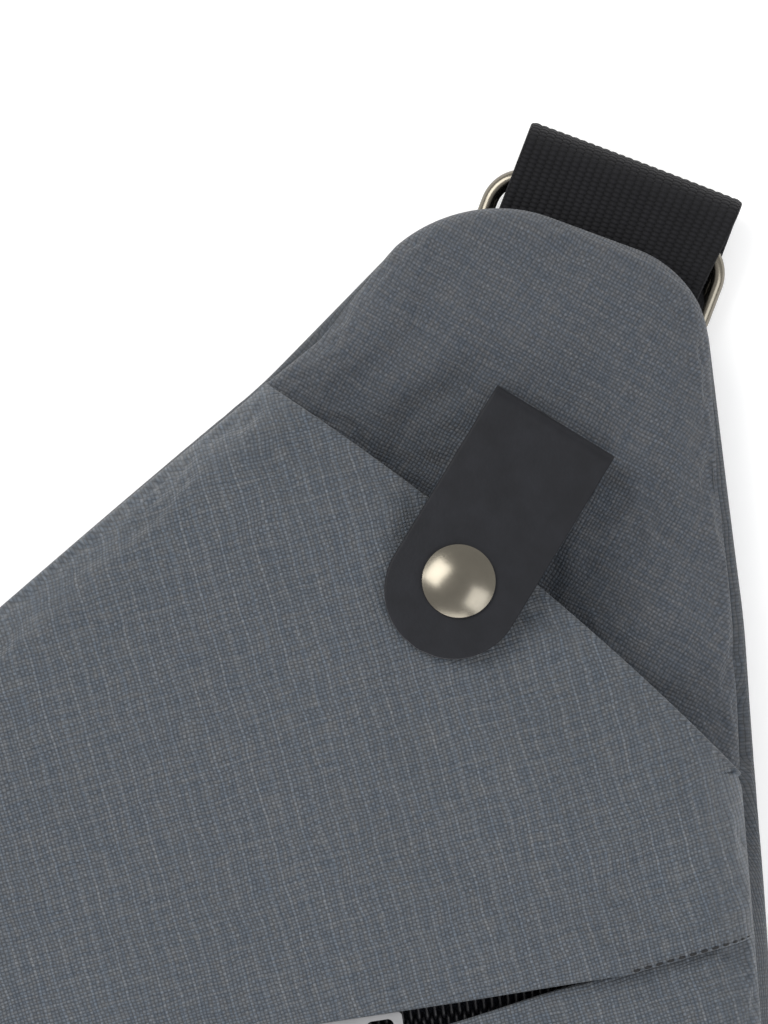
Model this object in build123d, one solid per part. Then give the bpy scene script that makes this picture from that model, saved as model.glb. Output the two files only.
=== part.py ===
from build123d import *
import math
import os

# A slim cross-body sling bag in padded polyester, lying on its back.
# +Z comes out of the front, +Y points to the top loop. Lengths are in millimetres.

# --- Driving dimensions ---------------------------------------------------------------------
LEAN = math.radians(20.85)          # the bag's long axis leans this far from +Y towards +X
FABRIC = 1.6                        # padded outer fabric
WALL = 1.5                          # gusset fabric
FIT = 0.3                           # air between a loose piece and its neighbour

# Body outline: corner x, corner y, radius of the rounding there.
BODY_OUTLINE = [
    (-113.0, -55.0, 35.0),          # left corner, where the lower ring is
    (-22.0, 23.0, 90.0),            # the front panel meets the lobe
    (13.2, 59.0, 28.0),             # left shoulder of the lobe
    (57.4, 43.0, 20.0),             # right shoulder of the lobe
    (65.5, -20.0, 150.0),
    (74.0, -150.0, 45.0),           # bottom right
    (-100.0, -196.0, 55.0),         # bottom left
]

# Heights above the surface that the bag lies on.
PAD_TOP = 8.0
PAD_END = 38.0                      # the pads stop this far up the bag
BACK_TOP = PAD_TOP + FABRIC
BOARD_TOP = BACK_TOP + 1.2
LINING_TOP = BOARD_TOP + 0.5
PARTITION = 19.6                    # padded wall between the main and the phone compartment
PARTITION_TOP = PARTITION + FABRIC
POCKET_LINING = 31.4
POCKET_LINING_TOP = POCKET_LINING + 0.8
LOWER_PANEL = 37.3
LOWER_PANEL_TOP = LOWER_PANEL + FABRIC
MOUTH_PANEL = 32.4                  # underside of the upper front panel at the pocket mouth
FLAP_PANEL = 39.3                   # underside of the upper front panel over the zip
LOBE_SEAM = 18.0
LOBE_TOP = 25.5

# Pocket mouth: a shallow arc across the bag.
MOUTH_LEFT = (-21.3, 23.0)
MOUTH_RIGHT = (64.0, -47.5)
MOUTH_BOW = 3.0
MOUTH_RISE = 20.0                   # the front panel climbs to its full height over this far

# Front zip under the flap of the upper panel, and the main zip in the left side wall.
FRONT_ZIP_RIGHT = (44.4, -84.0)
FRONT_ZIP_LENGTH = 128.0
FRONT_ZIP_ANGLE = math.radians(8.65)
FRONT_SLIDER_AT = 67.0
FRONT_ZIP_HEIGHT = 35.0             # underside of the front zip's tape
ZIP_GAP = 5.0
FLAP_OVERLAP = 4.0
FLAP_EDGE_END = (67.8, -77.2)       # where the flap's edge meets the right side wall
FRONT_TAPE_EDGE = 9.5               # outer edge of the front zip's tape, from the zip's middle
MAIN_ZIP_START = 13.0
MAIN_ZIP_LENGTH = 86.0
MAIN_SLIDER_AT = 77.0
MAIN_ZIP_HEIGHT = 15.2
MAIN_ZIP_SLOT = 9.6

# Snap tab.
TAB_FOLD = (31.3, 16.6)
TAB_HEADING = (-0.52, -0.854)
TAB_WIDTH = 25.0
TAB_LENGTH = 49.0
TAB_THICK = 1.3
TAB_BASE_LENGTH = 30.0
SNAP_FROM_FOLD = 34.7
TAB_START = 1.6                     # the loose flap starts just past the fold
FLAP_AT_FOLD = 35.2                 # underside of the flap at the fold
TAB_TILT = 8.0                      # the flap climbs towards its tip, in degrees
SNAP_CAP_R = 6.7

# Webbing, rings and strap.
WEBBING = 40.0
WEBBING_THICK = 1.6
STRAP_ACROSS = 19.9                 # the loop, ring and strap share this line, along the bag
RING_WIRE = 1.5
RING_HALF = 22.1                    # half width of the ring, to the middle of its wire
RING_DEPTH = 19.5
RING_CORNER = 6.5
TOP_BAR = (67.0, 5.4)               # along the bag, height
TOP_RING_TILT = math.degrees(math.asin(1.0 / RING_DEPTH))
LOWER_BAR = (12.5, 4.6)             # out of the left corner, height
STRAP_LOW = 0.3
STRAP_HIGH = STRAP_LOW + WEBBING_THICK + 0.2
STRAP_FIRST_FOLD = -284.0           # along the bag
STRAP_SECOND_FOLD = -168.0          # across the bag
STRAP_END_REACH = 24.0              # sewn tail beyond the ring's far bar
ADJUSTER_AT = -72.0
LEFT_CORNER = (-82.2, -91.8)        # across and along the bag, where the lower tab leaves it


# --- Directions and helpers -----------------------------------------------------------------
ALONG = (math.sin(LEAN), math.cos(LEAN))
ACROSS = (math.cos(LEAN), -math.sin(LEAN))


def on_bag(across, along):
    """Plan position of a point given across and along the bag."""
    return (
        across * ACROSS[0] + along * ALONG[0],
        across * ACROSS[1] + along * ALONG[1],
    )


def unit(start, end):
    dx = end[0] - start[0]
    dy = end[1] - start[1]
    size = math.hypot(dx, dy)
    return (dx / size, dy / size)


def step(point, heading, distance):
    return (point[0] + heading[0] * distance, point[1] + heading[1] * distance)


def outline(grow=0.0):
    """The body's outline as a face, grown or shrunk by an offset."""
    corners = [(x, y) for x, y, _ in BODY_OUTLINE]
    radii = [r for _, _, r in BODY_OUTLINE]
    face = make_face(FilletPolyline(*corners, radius=radii, close=True))
    if grow == 0.0:
        return face
    return offset(face, amount=grow)


def prism(face, low, high):
    return Pos(0, 0, low) * extrude(face, amount=high - low)


def region(*points):
    return make_face(Polyline(*points, close=True))


def block(size, centre):
    return Pos(*centre) * Box(*size)


def section_plane(origin, heading):
    """Vertical plane: its x runs along heading, its y is up."""
    return Plane(
        origin=(origin[0], origin[1], 0),
        x_dir=(heading[0], heading[1], 0),
        z_dir=(heading[1], -heading[0], 0),
    )


def section_solid(points, origin, heading, half_width):
    """A closed section of (distance, height) points, carried sideways both ways."""
    face = section_plane(origin, heading) * region(*points)
    return extrude(face, amount=half_width, both=True)


def flat_plane(origin, heading, height):
    """Horizontal plane whose x runs along heading."""
    return Plane(origin=(origin[0], origin[1], height), x_dir=(heading[0], heading[1], 0), z_dir=(0, 0, 1))


FAR = 400.0
MOUTH_ALONG = unit(MOUTH_LEFT, MOUTH_RIGHT)
INTO_POCKET = (MOUTH_ALONG[1], -MOUTH_ALONG[0])
MOUTH_MIDDLE = ((MOUTH_LEFT[0] + MOUTH_RIGHT[0]) / 2, (MOUTH_LEFT[1] + MOUTH_RIGHT[1]) / 2)
ZIP_ALONG = (math.cos(FRONT_ZIP_ANGLE), math.sin(FRONT_ZIP_ANGLE))
ZIP_UP = (-ZIP_ALONG[1], ZIP_ALONG[0])
FRONT_ZIP_LEFT = step(FRONT_ZIP_RIGHT, ZIP_ALONG, -FRONT_ZIP_LENGTH)
ZIP_SIDE_TOP = BODY_OUTLINE[1][:2]
ZIP_SIDE_DOWN = unit(ZIP_SIDE_TOP, BODY_OUTLINE[0][:2])
ZIP_SIDE_OUT = (ZIP_SIDE_DOWN[1], -ZIP_SIDE_DOWN[0])


def behind_mouth():
    """Plan region on the pocket's side of the mouth."""
    left = step(MOUTH_LEFT, MOUTH_ALONG, -60)
    right = step(MOUTH_RIGHT, MOUTH_ALONG, 60)
    bow = step(MOUTH_MIDDLE, INTO_POCKET, -MOUTH_BOW)
    arc = ThreePointArc(MOUTH_LEFT, bow, MOUTH_RIGHT)
    rest = Polyline(MOUTH_RIGHT, right, (FAR, -FAR), (-FAR, -FAR), left, MOUTH_LEFT)
    return make_face(arc + rest)


def below_slit(shift=0.0):
    """Plan region below the flap's edge, moved up by shift."""
    points = [
        step(FRONT_ZIP_LEFT, ZIP_ALONG, -FAR / 2),
        FRONT_ZIP_RIGHT,
        FLAP_EDGE_END,
        (FAR / 2, -35.0),
    ]
    moved = [step(point, ZIP_UP, shift) for point in points]
    return region(*moved, (FAR, -FAR), (-FAR, -FAR))


def mouth_section(points):
    return section_solid(points, MOUTH_MIDDLE, INTO_POCKET, FAR)


def panel_heights(extra=0.0):
    """Underside of the upper front panel, as distance into the pocket and height."""
    return [
        (-60, MOUTH_PANEL + extra),
        (-MOUTH_BOW, MOUTH_PANEL + extra),
        (MOUTH_RISE - MOUTH_BOW, FLAP_PANEL + extra),
        (FAR, FLAP_PANEL + extra),
    ]


def lobe_heights(extra=0.0):
    """Top of the lobe: level, then sloping down into the phone pocket."""
    return [(-FAR, LOBE_TOP + extra), (-22, LOBE_TOP + extra), (10, PARTITION_TOP + extra)]


# --- Shell of the bag -----------------------------------------------------------------------
def back_panel():
    return prism(outline(), PAD_TOP, BACK_TOP)


def edge_binding():
    ring = outline(1.2) - outline()
    return prism(ring, PAD_TOP - 0.6, BACK_TOP + 0.6)


def stiffener_board():
    return prism(outline(-4.0), BACK_TOP, BOARD_TOP) & lobe_side(26.0, False)


def inner_lining():
    return prism(outline(-WALL - 0.3), BOARD_TOP, LINING_TOP) & lobe_side(8.4, False)


def lobe_side(distance, keep_lobe):
    """Everything on one side of a line parallel to the pocket mouth."""
    if keep_lobe:
        return mouth_section([(-FAR, -20), (distance, -20), (distance, 80), (-FAR, 80)])
    return mouth_section([(distance, -20), (FAR, -20), (FAR, 80), (distance, 80)])


def back_pads():
    """Two mesh pads with a channel between them for the shoulder strap."""
    field = outline(-9.0)
    tab_room = left_corner_plane(0) * Pos(-8, 0) * Rectangle(40, WEBBING + 8)
    top = flat_plane(on_bag(0, PAD_END + FAR / 2), ALONG, 0) * Rectangle(FAR, 2 * FAR)
    pads = []
    for side in (-1, 1):
        away = side * (WEBBING / 2 + 4 + FAR / 2)
        half = flat_plane(on_bag(STRAP_ACROSS + away, 0), ACROSS, 0) * Rectangle(FAR, 3 * FAR)
        pad = prism((field & half) - tab_room - top, 0, PAD_TOP)
        pads.append(fillet(pad.edges().group_by(Axis.Z)[0], 2.0))
    return pads


def gusset():
    band = prism(outline() - outline(-WALL), BACK_TOP, FLAP_PANEL)
    under = mouth_section([(-60, 0)] + panel_heights() + [(FAR, 0)])
    wall = band & under & prism(behind_mouth(), 0, FLAP_PANEL)
    wall -= prism(below_slit(FLAP_OVERLAP), LOWER_PANEL, FLAP_PANEL + 5)
    lobe_wall = prism(outline() - outline(-WALL), BACK_TOP, LOBE_SEAM) - prism(behind_mouth(), 0, 60)
    slot = main_zip_plane() * Box(MAIN_ZIP_LENGTH, MAIN_ZIP_SLOT, 12)
    return wall + lobe_wall - slot


def dome(shrink, low, high, radius):
    shape = prism(outline(shrink), low, high)
    top = shape.edges().group_by(Axis.Z)[-1]
    return fillet(top, radius)


def lobe_cover():
    under = mouth_section([(-FAR, 0)] + lobe_heights() + [(10, 0)])
    inside = mouth_section([(-FAR, 0)] + lobe_heights(-1.3) + [(10, 0)])
    outer = dome(0, LOBE_SEAM, LOBE_TOP, 7.0) & under
    hollow = dome(-WALL, LOBE_SEAM - 5, LOBE_TOP - 1.3, 5.5) & inside
    return ((outer - hollow) & lobe_side(8.0, True)) - gusset()


def lobe_foam():
    inside = mouth_section([(-FAR, 0)] + lobe_heights(-1.4) + [(10, 0)])
    shape = dome(-WALL - 0.1, BACK_TOP + 0.1, LOBE_TOP - 1.4, 5.4)
    return shape & inside & lobe_side(8.0, True)


def pocket_partition():
    return prism(outline(-WALL - 0.1), PARTITION, PARTITION_TOP) & lobe_side(8.4, False)


def pocket_lining():
    return prism(outline(-WALL - 0.1), POCKET_LINING, POCKET_LINING_TOP) & lobe_side(10.2, False)


def mouth_hem():
    """The turned-under edge of the pocket mouth."""
    field = outline(-WALL - 0.1) & behind_mouth()
    return prism(field, POCKET_LINING, POCKET_LINING_TOP) & lobe_side(10.0, True)


def front_panel_upper():
    slab = mouth_section(panel_heights() + list(reversed(panel_heights(FABRIC))))
    field = (outline() & behind_mouth()) - below_slit()
    return prism(field, 0, 60) & slab


def front_panel_lower():
    notch_size = (FRONT_ZIP_LENGTH, ZIP_GAP + 12)
    notch_centre = (FRONT_ZIP_LENGTH / 2, 12 / 2)
    notch = front_zip_plane(0) * Pos(*notch_centre) * Rectangle(*notch_size)
    field = (outline() & below_slit(FLAP_OVERLAP)) - notch
    return prism(field, LOWER_PANEL, LOWER_PANEL_TOP)


# --- Zips -----------------------------------------------------------------------------------
# Each zip is made along its own x, with y across it and z out of the bag from its tape.
TAPE = 0.6
COIL = 1.2
COIL_DEEP = 1.4
STOP = 2.6


def front_zip_plane(height=FRONT_ZIP_HEIGHT):
    origin = step(FRONT_ZIP_LEFT, ZIP_UP, -ZIP_GAP / 2)
    return flat_plane(origin, ZIP_ALONG, height)


def main_zip_plane():
    middle = step(ZIP_SIDE_TOP, ZIP_SIDE_DOWN, MAIN_ZIP_START + MAIN_ZIP_LENGTH / 2)
    origin = step(middle, ZIP_SIDE_OUT, -1.1)
    return Plane(
        origin=(origin[0], origin[1], MAIN_ZIP_HEIGHT),
        x_dir=(ZIP_SIDE_DOWN[0], ZIP_SIDE_DOWN[1], 0),
        z_dir=(ZIP_SIDE_OUT[0], ZIP_SIDE_OUT[1], 0),
    )


def both_sides(shape):
    return [shape, mirror(shape, about=Plane.XZ)]


def zip_tapes(length, edge):
    width = edge - ZIP_GAP / 2
    return both_sides(block((length, width, TAPE), (length / 2, ZIP_GAP / 2 + width / 2, TAPE / 2)))


def zip_coils(length):
    run = length - 2 * STOP
    return both_sides(block((run, COIL, COIL_DEEP), (length / 2, ZIP_GAP / 2 + COIL / 2, -COIL_DEEP / 2)))


def zip_stops(length):
    width = ZIP_GAP + 2 * COIL
    size = (STOP - 0.2, width, COIL_DEEP - 0.1)
    reach = (STOP - 0.2) / 2
    height = -COIL_DEEP / 2 - 0.05
    return [block(size, (reach, 0, height)), block(size, (length - reach, 0, height))]


BAIL_HEIGHT = 3.1
BAIL_HOLE = 0.9


def zip_slider():
    """Two plates joined by a bridge that runs between the rows of coil, and the bail on top."""
    top = fillet(block((10, 8.4, 1.0), (0, 0, 1.4)).edges().filter_by(Axis.Z), 2.0)
    bottom = fillet(block((10, 7.4, 0.9), (0, 0, -2.15)).edges().filter_by(Axis.Z), 2.0)
    bridge = block((6, 2.0, 2.8), (0, 0, -0.4))
    bail = fillet(block((4.6, 2.2, 2.5), (0, 0, 3.0)).edges().group_by(Axis.Z)[-1].filter_by(Axis.Y), 1.0)
    hole = Pos(0, 0, BAIL_HEIGHT) * Rot(90, 0, 0) * Cylinder(BAIL_HOLE, 4)
    return top + bottom + bridge + bail - hole


PULL_LENGTH = 20.0
PULL_WIDTH = 4.2


def zip_pull():
    """A thin loop: a cross pin through the bail, two arms and an open rounded end."""
    outer = Pos(PULL_LENGTH / 2 - 0.8, 0) * RectangleRounded(PULL_LENGTH, PULL_WIDTH, 0.75)
    neck = Pos(2.4, 0) * Rectangle(6.6, PULL_WIDTH - 1.4)
    eye = Pos(PULL_LENGTH - 5.0, 0) * SlotOverall(5.0, PULL_WIDTH - 2.0)
    plate = prism(outer - neck - eye, BAIL_HEIGHT - 0.6, BAIL_HEIGHT + 0.6)
    pin = Pos(0, 0, BAIL_HEIGHT) * Rot(90, 0, 0) * Cylinder(0.6, PULL_WIDTH - 0.6)
    gap = block((1.0, PULL_WIDTH - 1.4, 1.6), (-0.5 - 0.61, 0, BAIL_HEIGHT))
    return plate - gap + pin


# --- Snap tab -------------------------------------------------------------------------------
def tab_plane(height):
    return flat_plane(TAB_FOLD, TAB_HEADING, height)


def flap_plane():
    """On the underside of the loose flap, with its origin at the fold."""
    return tab_plane(FLAP_AT_FOLD) * Rot(0, -TAB_TILT, 0)


def into_pocket(point):
    """How far a plan point lies inside the pocket mouth."""
    across = (point[0] - MOUTH_MIDDLE[0]) * INTO_POCKET[0]
    return across + (point[1] - MOUTH_MIDDLE[1]) * INTO_POCKET[1]


def tab_base():
    """Leather sewn down on the lobe, with its end standing up to the fold."""
    slab = mouth_section(lobe_heights(0.05) + list(reversed(lobe_heights(0.05 + TAB_THICK))))
    strip = tab_plane(0) * Pos(TAB_BASE_LENGTH / 2, 0) * Rectangle(TAB_BASE_LENGTH, TAB_WIDTH)
    lying = prism(strip, LOBE_TOP - 6, LOBE_TOP + 6) & slab
    upright_face = tab_plane(0) * Pos(TAB_THICK / 2, 0) * Rectangle(TAB_THICK, TAB_WIDTH)
    upright = prism(upright_face, LOBE_TOP + 0.3, FLAP_AT_FOLD - FIT)
    return lying + upright


def tab_flap():
    straight = TAB_LENGTH - TAB_WIDTH / 2 - TAB_START
    body = Pos(TAB_START + straight / 2, 0) * Rectangle(straight, TAB_WIDTH)
    tip = Pos(TAB_LENGTH - TAB_WIDTH / 2, 0) * Circle(TAB_WIDTH / 2)
    hole = Pos(SNAP_FROM_FOLD, 0) * Circle(2.0)
    return flap_plane() * extrude(body + tip - hole, amount=TAB_THICK)


def at_snap(shape):
    return flap_plane() * Pos(SNAP_FROM_FOLD, 0, 0) * shape


def snap_cap():
    """Domed cap with its rivet shank through the leather."""
    ball_r = 12.0
    dome_height = ball_r - math.sqrt(ball_r ** 2 - SNAP_CAP_R ** 2)
    ball = Pos(0, 0, TAB_THICK + 0.5 + dome_height - ball_r) * Sphere(ball_r)
    slice_above = Pos(0, 0, TAB_THICK + 5.5) * Cylinder(SNAP_CAP_R, 10)
    rim = Pos(0, 0, TAB_THICK + 0.275) * Cylinder(SNAP_CAP_R, 0.45)
    shank = Pos(0, 0, TAB_THICK - 0.6) * Cylinder(1.6, 1.4)
    return at_snap((ball & slice_above) + rim + shank)


def snap_socket():
    ring = Cylinder(5.0, 0.9) - Cylinder(3.3, 0.9)
    return at_snap(Pos(0, 0, -0.5) * ring)


def under_panel(extra):
    """Everything lower than a surface that follows the upper front panel."""
    return mouth_section([(-60, 0)] + panel_heights(extra) + [(FAR, 0)])


def snap_stud():
    foot = Pos(0, 0, -2.7) * Cylinder(3.4, 3.0)
    bead = Pos(0, 0, -0.75) * Cylinder(2.7, 0.9)
    return at_snap(foot + bead) - under_panel(FABRIC + 0.02)


def snap_post():
    """Washer on the inside of the panel."""
    washer = at_snap(Pos(0, 0, -5.0) * Cylinder(5.0, 3.6))
    return washer & under_panel(-0.05) - under_panel(-0.65)


# --- Webbing loops, rings and strap ----------------------------------------------------------
def left_corner_plane(height):
    """Plane at the left corner: x runs straight out of the bag."""
    return flat_plane(on_bag(*LEFT_CORNER), (-ACROSS[0], -ACROSS[1]), height)


def webbing_loop(path, plane):
    """Flat webbing folded along a path of (distance, height)."""
    face = plane * trace(path, WEBBING_THICK)
    return extrude(face, amount=WEBBING / 2, both=True)


def top_loop():
    front = 11.2
    back = 1.2
    bend = (front - back) / 2
    fold = 71.2
    over = Line((52.6, front), (fold, front))
    turn = ThreePointArc((fold, front), (fold + bend, back + bend), (fold, back))
    under = Polyline((fold, back), (62.5, back), (56.5, 6.4), (54.2, 6.4))
    plane = section_plane(on_bag(STRAP_ACROSS, 0), ALONG)
    body = prism(outline(0.05), BACK_TOP, FLAP_PANEL)
    return webbing_loop(over + turn + under, plane) - body


def lower_tab():
    bend = 3.7
    fold = 14.0
    middle = LOWER_BAR[1]
    over = Polyline((-14, 6.5), (2.5, 6.5), (7, middle + bend), (fold, middle + bend))
    turn = ThreePointArc((fold, middle + bend), (fold + bend, middle), (fold, middle - bend))
    under = Polyline((fold, middle - bend), (-1.5, middle - bend), (-6, 4.7), (-14, 4.7))
    corner = left_corner_plane(0)
    plane = section_plane((corner.origin.X, corner.origin.Y), (-ACROSS[0], -ACROSS[1]))
    return webbing_loop(over + turn + under, plane)


def ring_shape():
    """Rectangular wire ring: its hinged bar lies along y, its far bar at x = RING_DEPTH."""
    corners = [(0, -RING_HALF), (RING_DEPTH, -RING_HALF), (RING_DEPTH, RING_HALF), (0, RING_HALF)]
    path = FilletPolyline(*corners, radius=RING_CORNER, close=True)
    start = path @ 0
    tangent = path % 0
    wire = Plane(origin=start, z_dir=tangent) * Circle(RING_WIRE)
    return sweep(wire, path=path)


def top_ring_plane():
    place = on_bag(STRAP_ACROSS, TOP_BAR[0])
    plane = flat_plane(place, (-ALONG[0], -ALONG[1]), TOP_BAR[1])
    return plane * Rot(0, TOP_RING_TILT, 0)


def lower_ring_plane():
    corner = left_corner_plane(0)
    place = step((corner.origin.X, corner.origin.Y), (-ACROSS[0], -ACROSS[1]), LOWER_BAR[0])
    return flat_plane(place, (-ACROSS[0], -ACROSS[1]), LOWER_BAR[1])


def strap_end(drop, reach):
    """Webbing end wrapped round the ring's far bar and sewn back on itself."""
    inner = RING_WIRE + 0.2
    outer = inner + WEBBING_THICK
    slack = 2.0                     # the ring's corners curve back inside the wrap
    wrap = Pos(-slack / 2, 0) * (SlotCenterToCenter(slack, 2 * outer) - SlotCenterToCenter(slack, 2 * inner))
    tail_top = -drop + WEBBING_THICK
    sewn = region((0, -outer), (0, -inner), (outer, -inner), (outer + 2.5, tail_top), (reach, tail_top),
                  (reach, -drop), (outer, -drop))
    face = Plane(origin=(RING_DEPTH, 0, 0), x_dir=(1, 0, 0), z_dir=(0, -1, 0)) * (wrap + sewn)
    return extrude(face, amount=WEBBING / 2, both=True)


def shoulder_strap():
    """Flat webbing from the top ring, under the bag, and folded back to the left corner."""
    half = WEBBING / 2
    across = STRAP_ACROSS
    first = STRAP_FIRST_FOLD
    second = STRAP_SECOND_FOLD
    corner_across, ring_along = LEFT_CORNER
    top_end = TOP_BAR[0] - RING_DEPTH - STRAP_END_REACH - 1.0
    lower_end = corner_across - LOWER_BAR[0] - RING_DEPTH - STRAP_END_REACH - 1.0

    def run(corners, height):
        return prism(region(*[on_bag(*corner) for corner in corners]), height, height + WEBBING_THICK)

    def fold(corners):
        width = 1.2
        heading = unit(corners[0], corners[1])
        (a0, b0), (a1, b1) = step(corners[0], heading, 1.0), step(corners[1], heading, -1.0)
        side = (-heading[1] * width / 2, heading[0] * width / 2)
        points = [(a0 + side[0], b0 + side[1]), (a1 + side[0], b1 + side[1]),
                  (a1 - side[0], b1 - side[1]), (a0 - side[0], b0 - side[1])]
        plan = region(*[on_bag(*point) for point in points])
        return prism(plan, STRAP_LOW + 0.1, STRAP_HIGH + WEBBING_THICK - 0.1)

    crease_one = [(across + half, first + half), (across - half, first - half)]
    crease_two = [(second + half, first - half), (second - half, first + half)]
    crease_three = [(second - half, ring_along - half), (second + half, ring_along + half)]
    runs = [
        run([(across + half, top_end), crease_one[0], crease_one[1], (across - half, top_end)], STRAP_LOW),
        run([crease_one[0], crease_one[1], crease_two[0], crease_two[1]], STRAP_HIGH),
        run([crease_two[0], crease_two[1], crease_three[0], crease_three[1]], STRAP_LOW),
        run([crease_three[0], crease_three[1], (lower_end, ring_along + half),
             (lower_end, ring_along - half)], STRAP_HIGH),
    ]
    folds = [fold(crease_one), fold(crease_two), fold(crease_three)]
    shape = runs[0]
    for piece in runs[1:] + folds:
        shape += piece
    return shape


def strap_adjuster():
    """Three-bar slide: outer bars under the strap, middle bar over it, rails down both sides."""
    plane = flat_plane(on_bag(ADJUSTER_AT, STRAP_FIRST_FOLD), ACROSS, STRAP_HIGH + WEBBING_THICK / 2)
    rise = WEBBING_THICK / 2 + FIT
    bar = 1.5
    length = 26.0
    half = WEBBING / 2 + 0.4
    rail = block((length, 2.6, 2 * (rise + bar)), (0, half + 1.3, 0))
    rails = both_sides(fillet(rail.edges().filter_by(Axis.Y), 1.2))
    outer = [block((3.6, 2 * half + 0.4, bar), (side * (length / 2 - 2.0), 0, -rise - bar / 2)) for side in (-1, 1)]
    middle = block((4.6, 2 * half + 0.4, bar), (0, 0, rise + bar / 2))
    shape = rails[0] + rails[1] + middle
    for piece in outer:
        shape += piece
    return plane * shape


# --- Assembly -------------------------------------------------------------------------------
def put(plane, shapes):
    moved = [plane * shape for shape in shapes]
    return moved[0] if len(moved) == 1 else Compound(children=moved)


def build():
    left_pad, right_pad = back_pads()
    front = front_zip_plane()
    main = main_zip_plane() * Pos(-MAIN_ZIP_LENGTH / 2, 0, 0)
    front_slider_place = front * Pos(FRONT_SLIDER_AT, 0, 0)
    main_slider_place = main * Pos(MAIN_SLIDER_AT, 0, 0)
    top_ring_place = top_ring_plane()
    lower_ring_place = lower_ring_plane()
    top_drop = TOP_BAR[1] - 1.0 - STRAP_LOW - 1.3
    lower_drop = LOWER_BAR[1] - STRAP_HIGH
    return {
        "back_panel": back_panel(),
        "back_pad_left": left_pad,
        "back_pad_right": right_pad,
        "edge_binding": edge_binding(),
        "stiffener_board": stiffener_board(),
        "inner_lining": inner_lining(),
        "gusset": gusset(),
        "lobe_cover": lobe_cover(),
        "lobe_foam": lobe_foam(),
        "pocket_partition": pocket_partition(),
        "pocket_lining": pocket_lining(),
        "mouth_hem": mouth_hem(),
        "front_panel_upper": front_panel_upper(),
        "front_panel_lower": front_panel_lower(),
        "front_zip_tapes": put(front, zip_tapes(FRONT_ZIP_LENGTH, FRONT_TAPE_EDGE)),
        "front_zip_coils": put(front, zip_coils(FRONT_ZIP_LENGTH)),
        "front_zip_stops": put(front, zip_stops(FRONT_ZIP_LENGTH)),
        "front_slider": put(front_slider_place, [zip_slider()]),
        "front_pull": put(front_slider_place, [zip_pull()]),
        "main_zip_tapes": put(main, zip_tapes(MAIN_ZIP_LENGTH, MAIN_ZIP_SLOT / 2 - 0.05)),
        "main_zip_coils": put(main, zip_coils(MAIN_ZIP_LENGTH)),
        "main_zip_stops": put(main, zip_stops(MAIN_ZIP_LENGTH)),
        "main_slider": put(main_slider_place, [zip_slider()]),
        "main_pull": put(main_slider_place, [zip_pull()]),
        "tab_base": tab_base(),
        "tab_flap": tab_flap(),
        "snap_cap": snap_cap(),
        "snap_socket": snap_socket(),
        "snap_stud": snap_stud(),
        "snap_post": snap_post(),
        "top_loop": top_loop(),
        "top_ring": top_ring_place * ring_shape(),
        "strap_top_end": top_ring_place * strap_end(top_drop, STRAP_END_REACH),
        "shoulder_strap": shoulder_strap(),
        "strap_adjuster": strap_adjuster(),
        "strap_lower_end": lower_ring_place * strap_end(lower_drop, STRAP_END_REACH),
        "lower_tab": lower_tab(),
        "lower_ring": lower_ring_place * ring_shape(),
    }


def main():
    nodes = build()
    whole = Compound(children=[Compound(children=shape.solids()) for shape in nodes.values()])
    box = whole.bounding_box()
    centre = ((box.min.X + box.max.X) / 2, (box.min.Y + box.max.Y) / 2)
    print("origin moved by", centre, "lowest", box.min.Z, "size", box.size)
    os.makedirs("parts", exist_ok=True)
    for name, shape in nodes.items():
        moved = [Pos(-centre[0], -centre[1], 0) * solid for solid in shape.solids()]
        whole_node = moved[0] if len(moved) == 1 else Compound(moved)
        export_step(whole_node, "parts/" + name + ".step")


main()
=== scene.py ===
import math

import bmesh
import bpy
import numpy as np
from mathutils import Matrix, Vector


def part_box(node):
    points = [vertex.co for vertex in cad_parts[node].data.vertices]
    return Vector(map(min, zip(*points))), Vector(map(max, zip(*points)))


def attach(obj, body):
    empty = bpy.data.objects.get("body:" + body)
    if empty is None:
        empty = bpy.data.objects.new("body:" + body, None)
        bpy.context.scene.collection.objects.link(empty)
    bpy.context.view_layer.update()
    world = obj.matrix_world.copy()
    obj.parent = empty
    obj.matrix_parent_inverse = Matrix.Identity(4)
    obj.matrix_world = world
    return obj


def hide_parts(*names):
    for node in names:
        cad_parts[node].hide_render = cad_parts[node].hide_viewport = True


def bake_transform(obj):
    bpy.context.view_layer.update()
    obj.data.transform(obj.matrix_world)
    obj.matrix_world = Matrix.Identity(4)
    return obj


# A slim cross-body sling bag lying on its back, seen from straight above.
# Plan positions are millimetres in the bag's own plan; put() turns them into the row frame's metres.

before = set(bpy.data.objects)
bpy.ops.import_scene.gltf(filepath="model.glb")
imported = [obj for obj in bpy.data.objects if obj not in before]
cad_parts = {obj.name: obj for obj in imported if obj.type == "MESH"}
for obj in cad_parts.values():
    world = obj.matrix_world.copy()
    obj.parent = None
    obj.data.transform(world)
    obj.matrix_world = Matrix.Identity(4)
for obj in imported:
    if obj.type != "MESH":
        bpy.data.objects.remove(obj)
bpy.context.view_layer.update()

# --- Driving dimensions, in millimetres and radians ----------------------------------------------
BODY_OUTLINE = [
    (-113.0, -55.0, 35.0),
    (-22.0, 23.0, 90.0),
    (13.2, 59.0, 28.0),
    (57.4, 43.0, 20.0),
    (65.5, -20.0, 150.0),
    (74.0, -150.0, 45.0),
    (-100.0, -196.0, 55.0),
]
LEAN = math.radians(20.85)
ALONG = np.array((math.sin(LEAN), math.cos(LEAN)))
ACROSS = np.array((math.cos(LEAN), -math.sin(LEAN)))
MOUTH_LEFT = np.array((-21.3, 23.0))
MOUTH_RIGHT = np.array((64.0, -47.5))
MOUTH_BOW = 3.0
MOUTH_TOP = 34.0                 # top of the front panel at the pocket mouth
PANEL_TOP = 40.9                 # top of the front panel over the zip
LOWER_TOP = 38.9
SEAM_HIGH = 31.0                 # where the front panels meet the side wall
SEAM_LOW = 18.0                  # where the lobe meets the side wall
LOBE_TOP = 25.5
POCKET_FLOOR = 21.2
BACK_LOW = 8.0
BACK_TOP = 9.6
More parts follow.
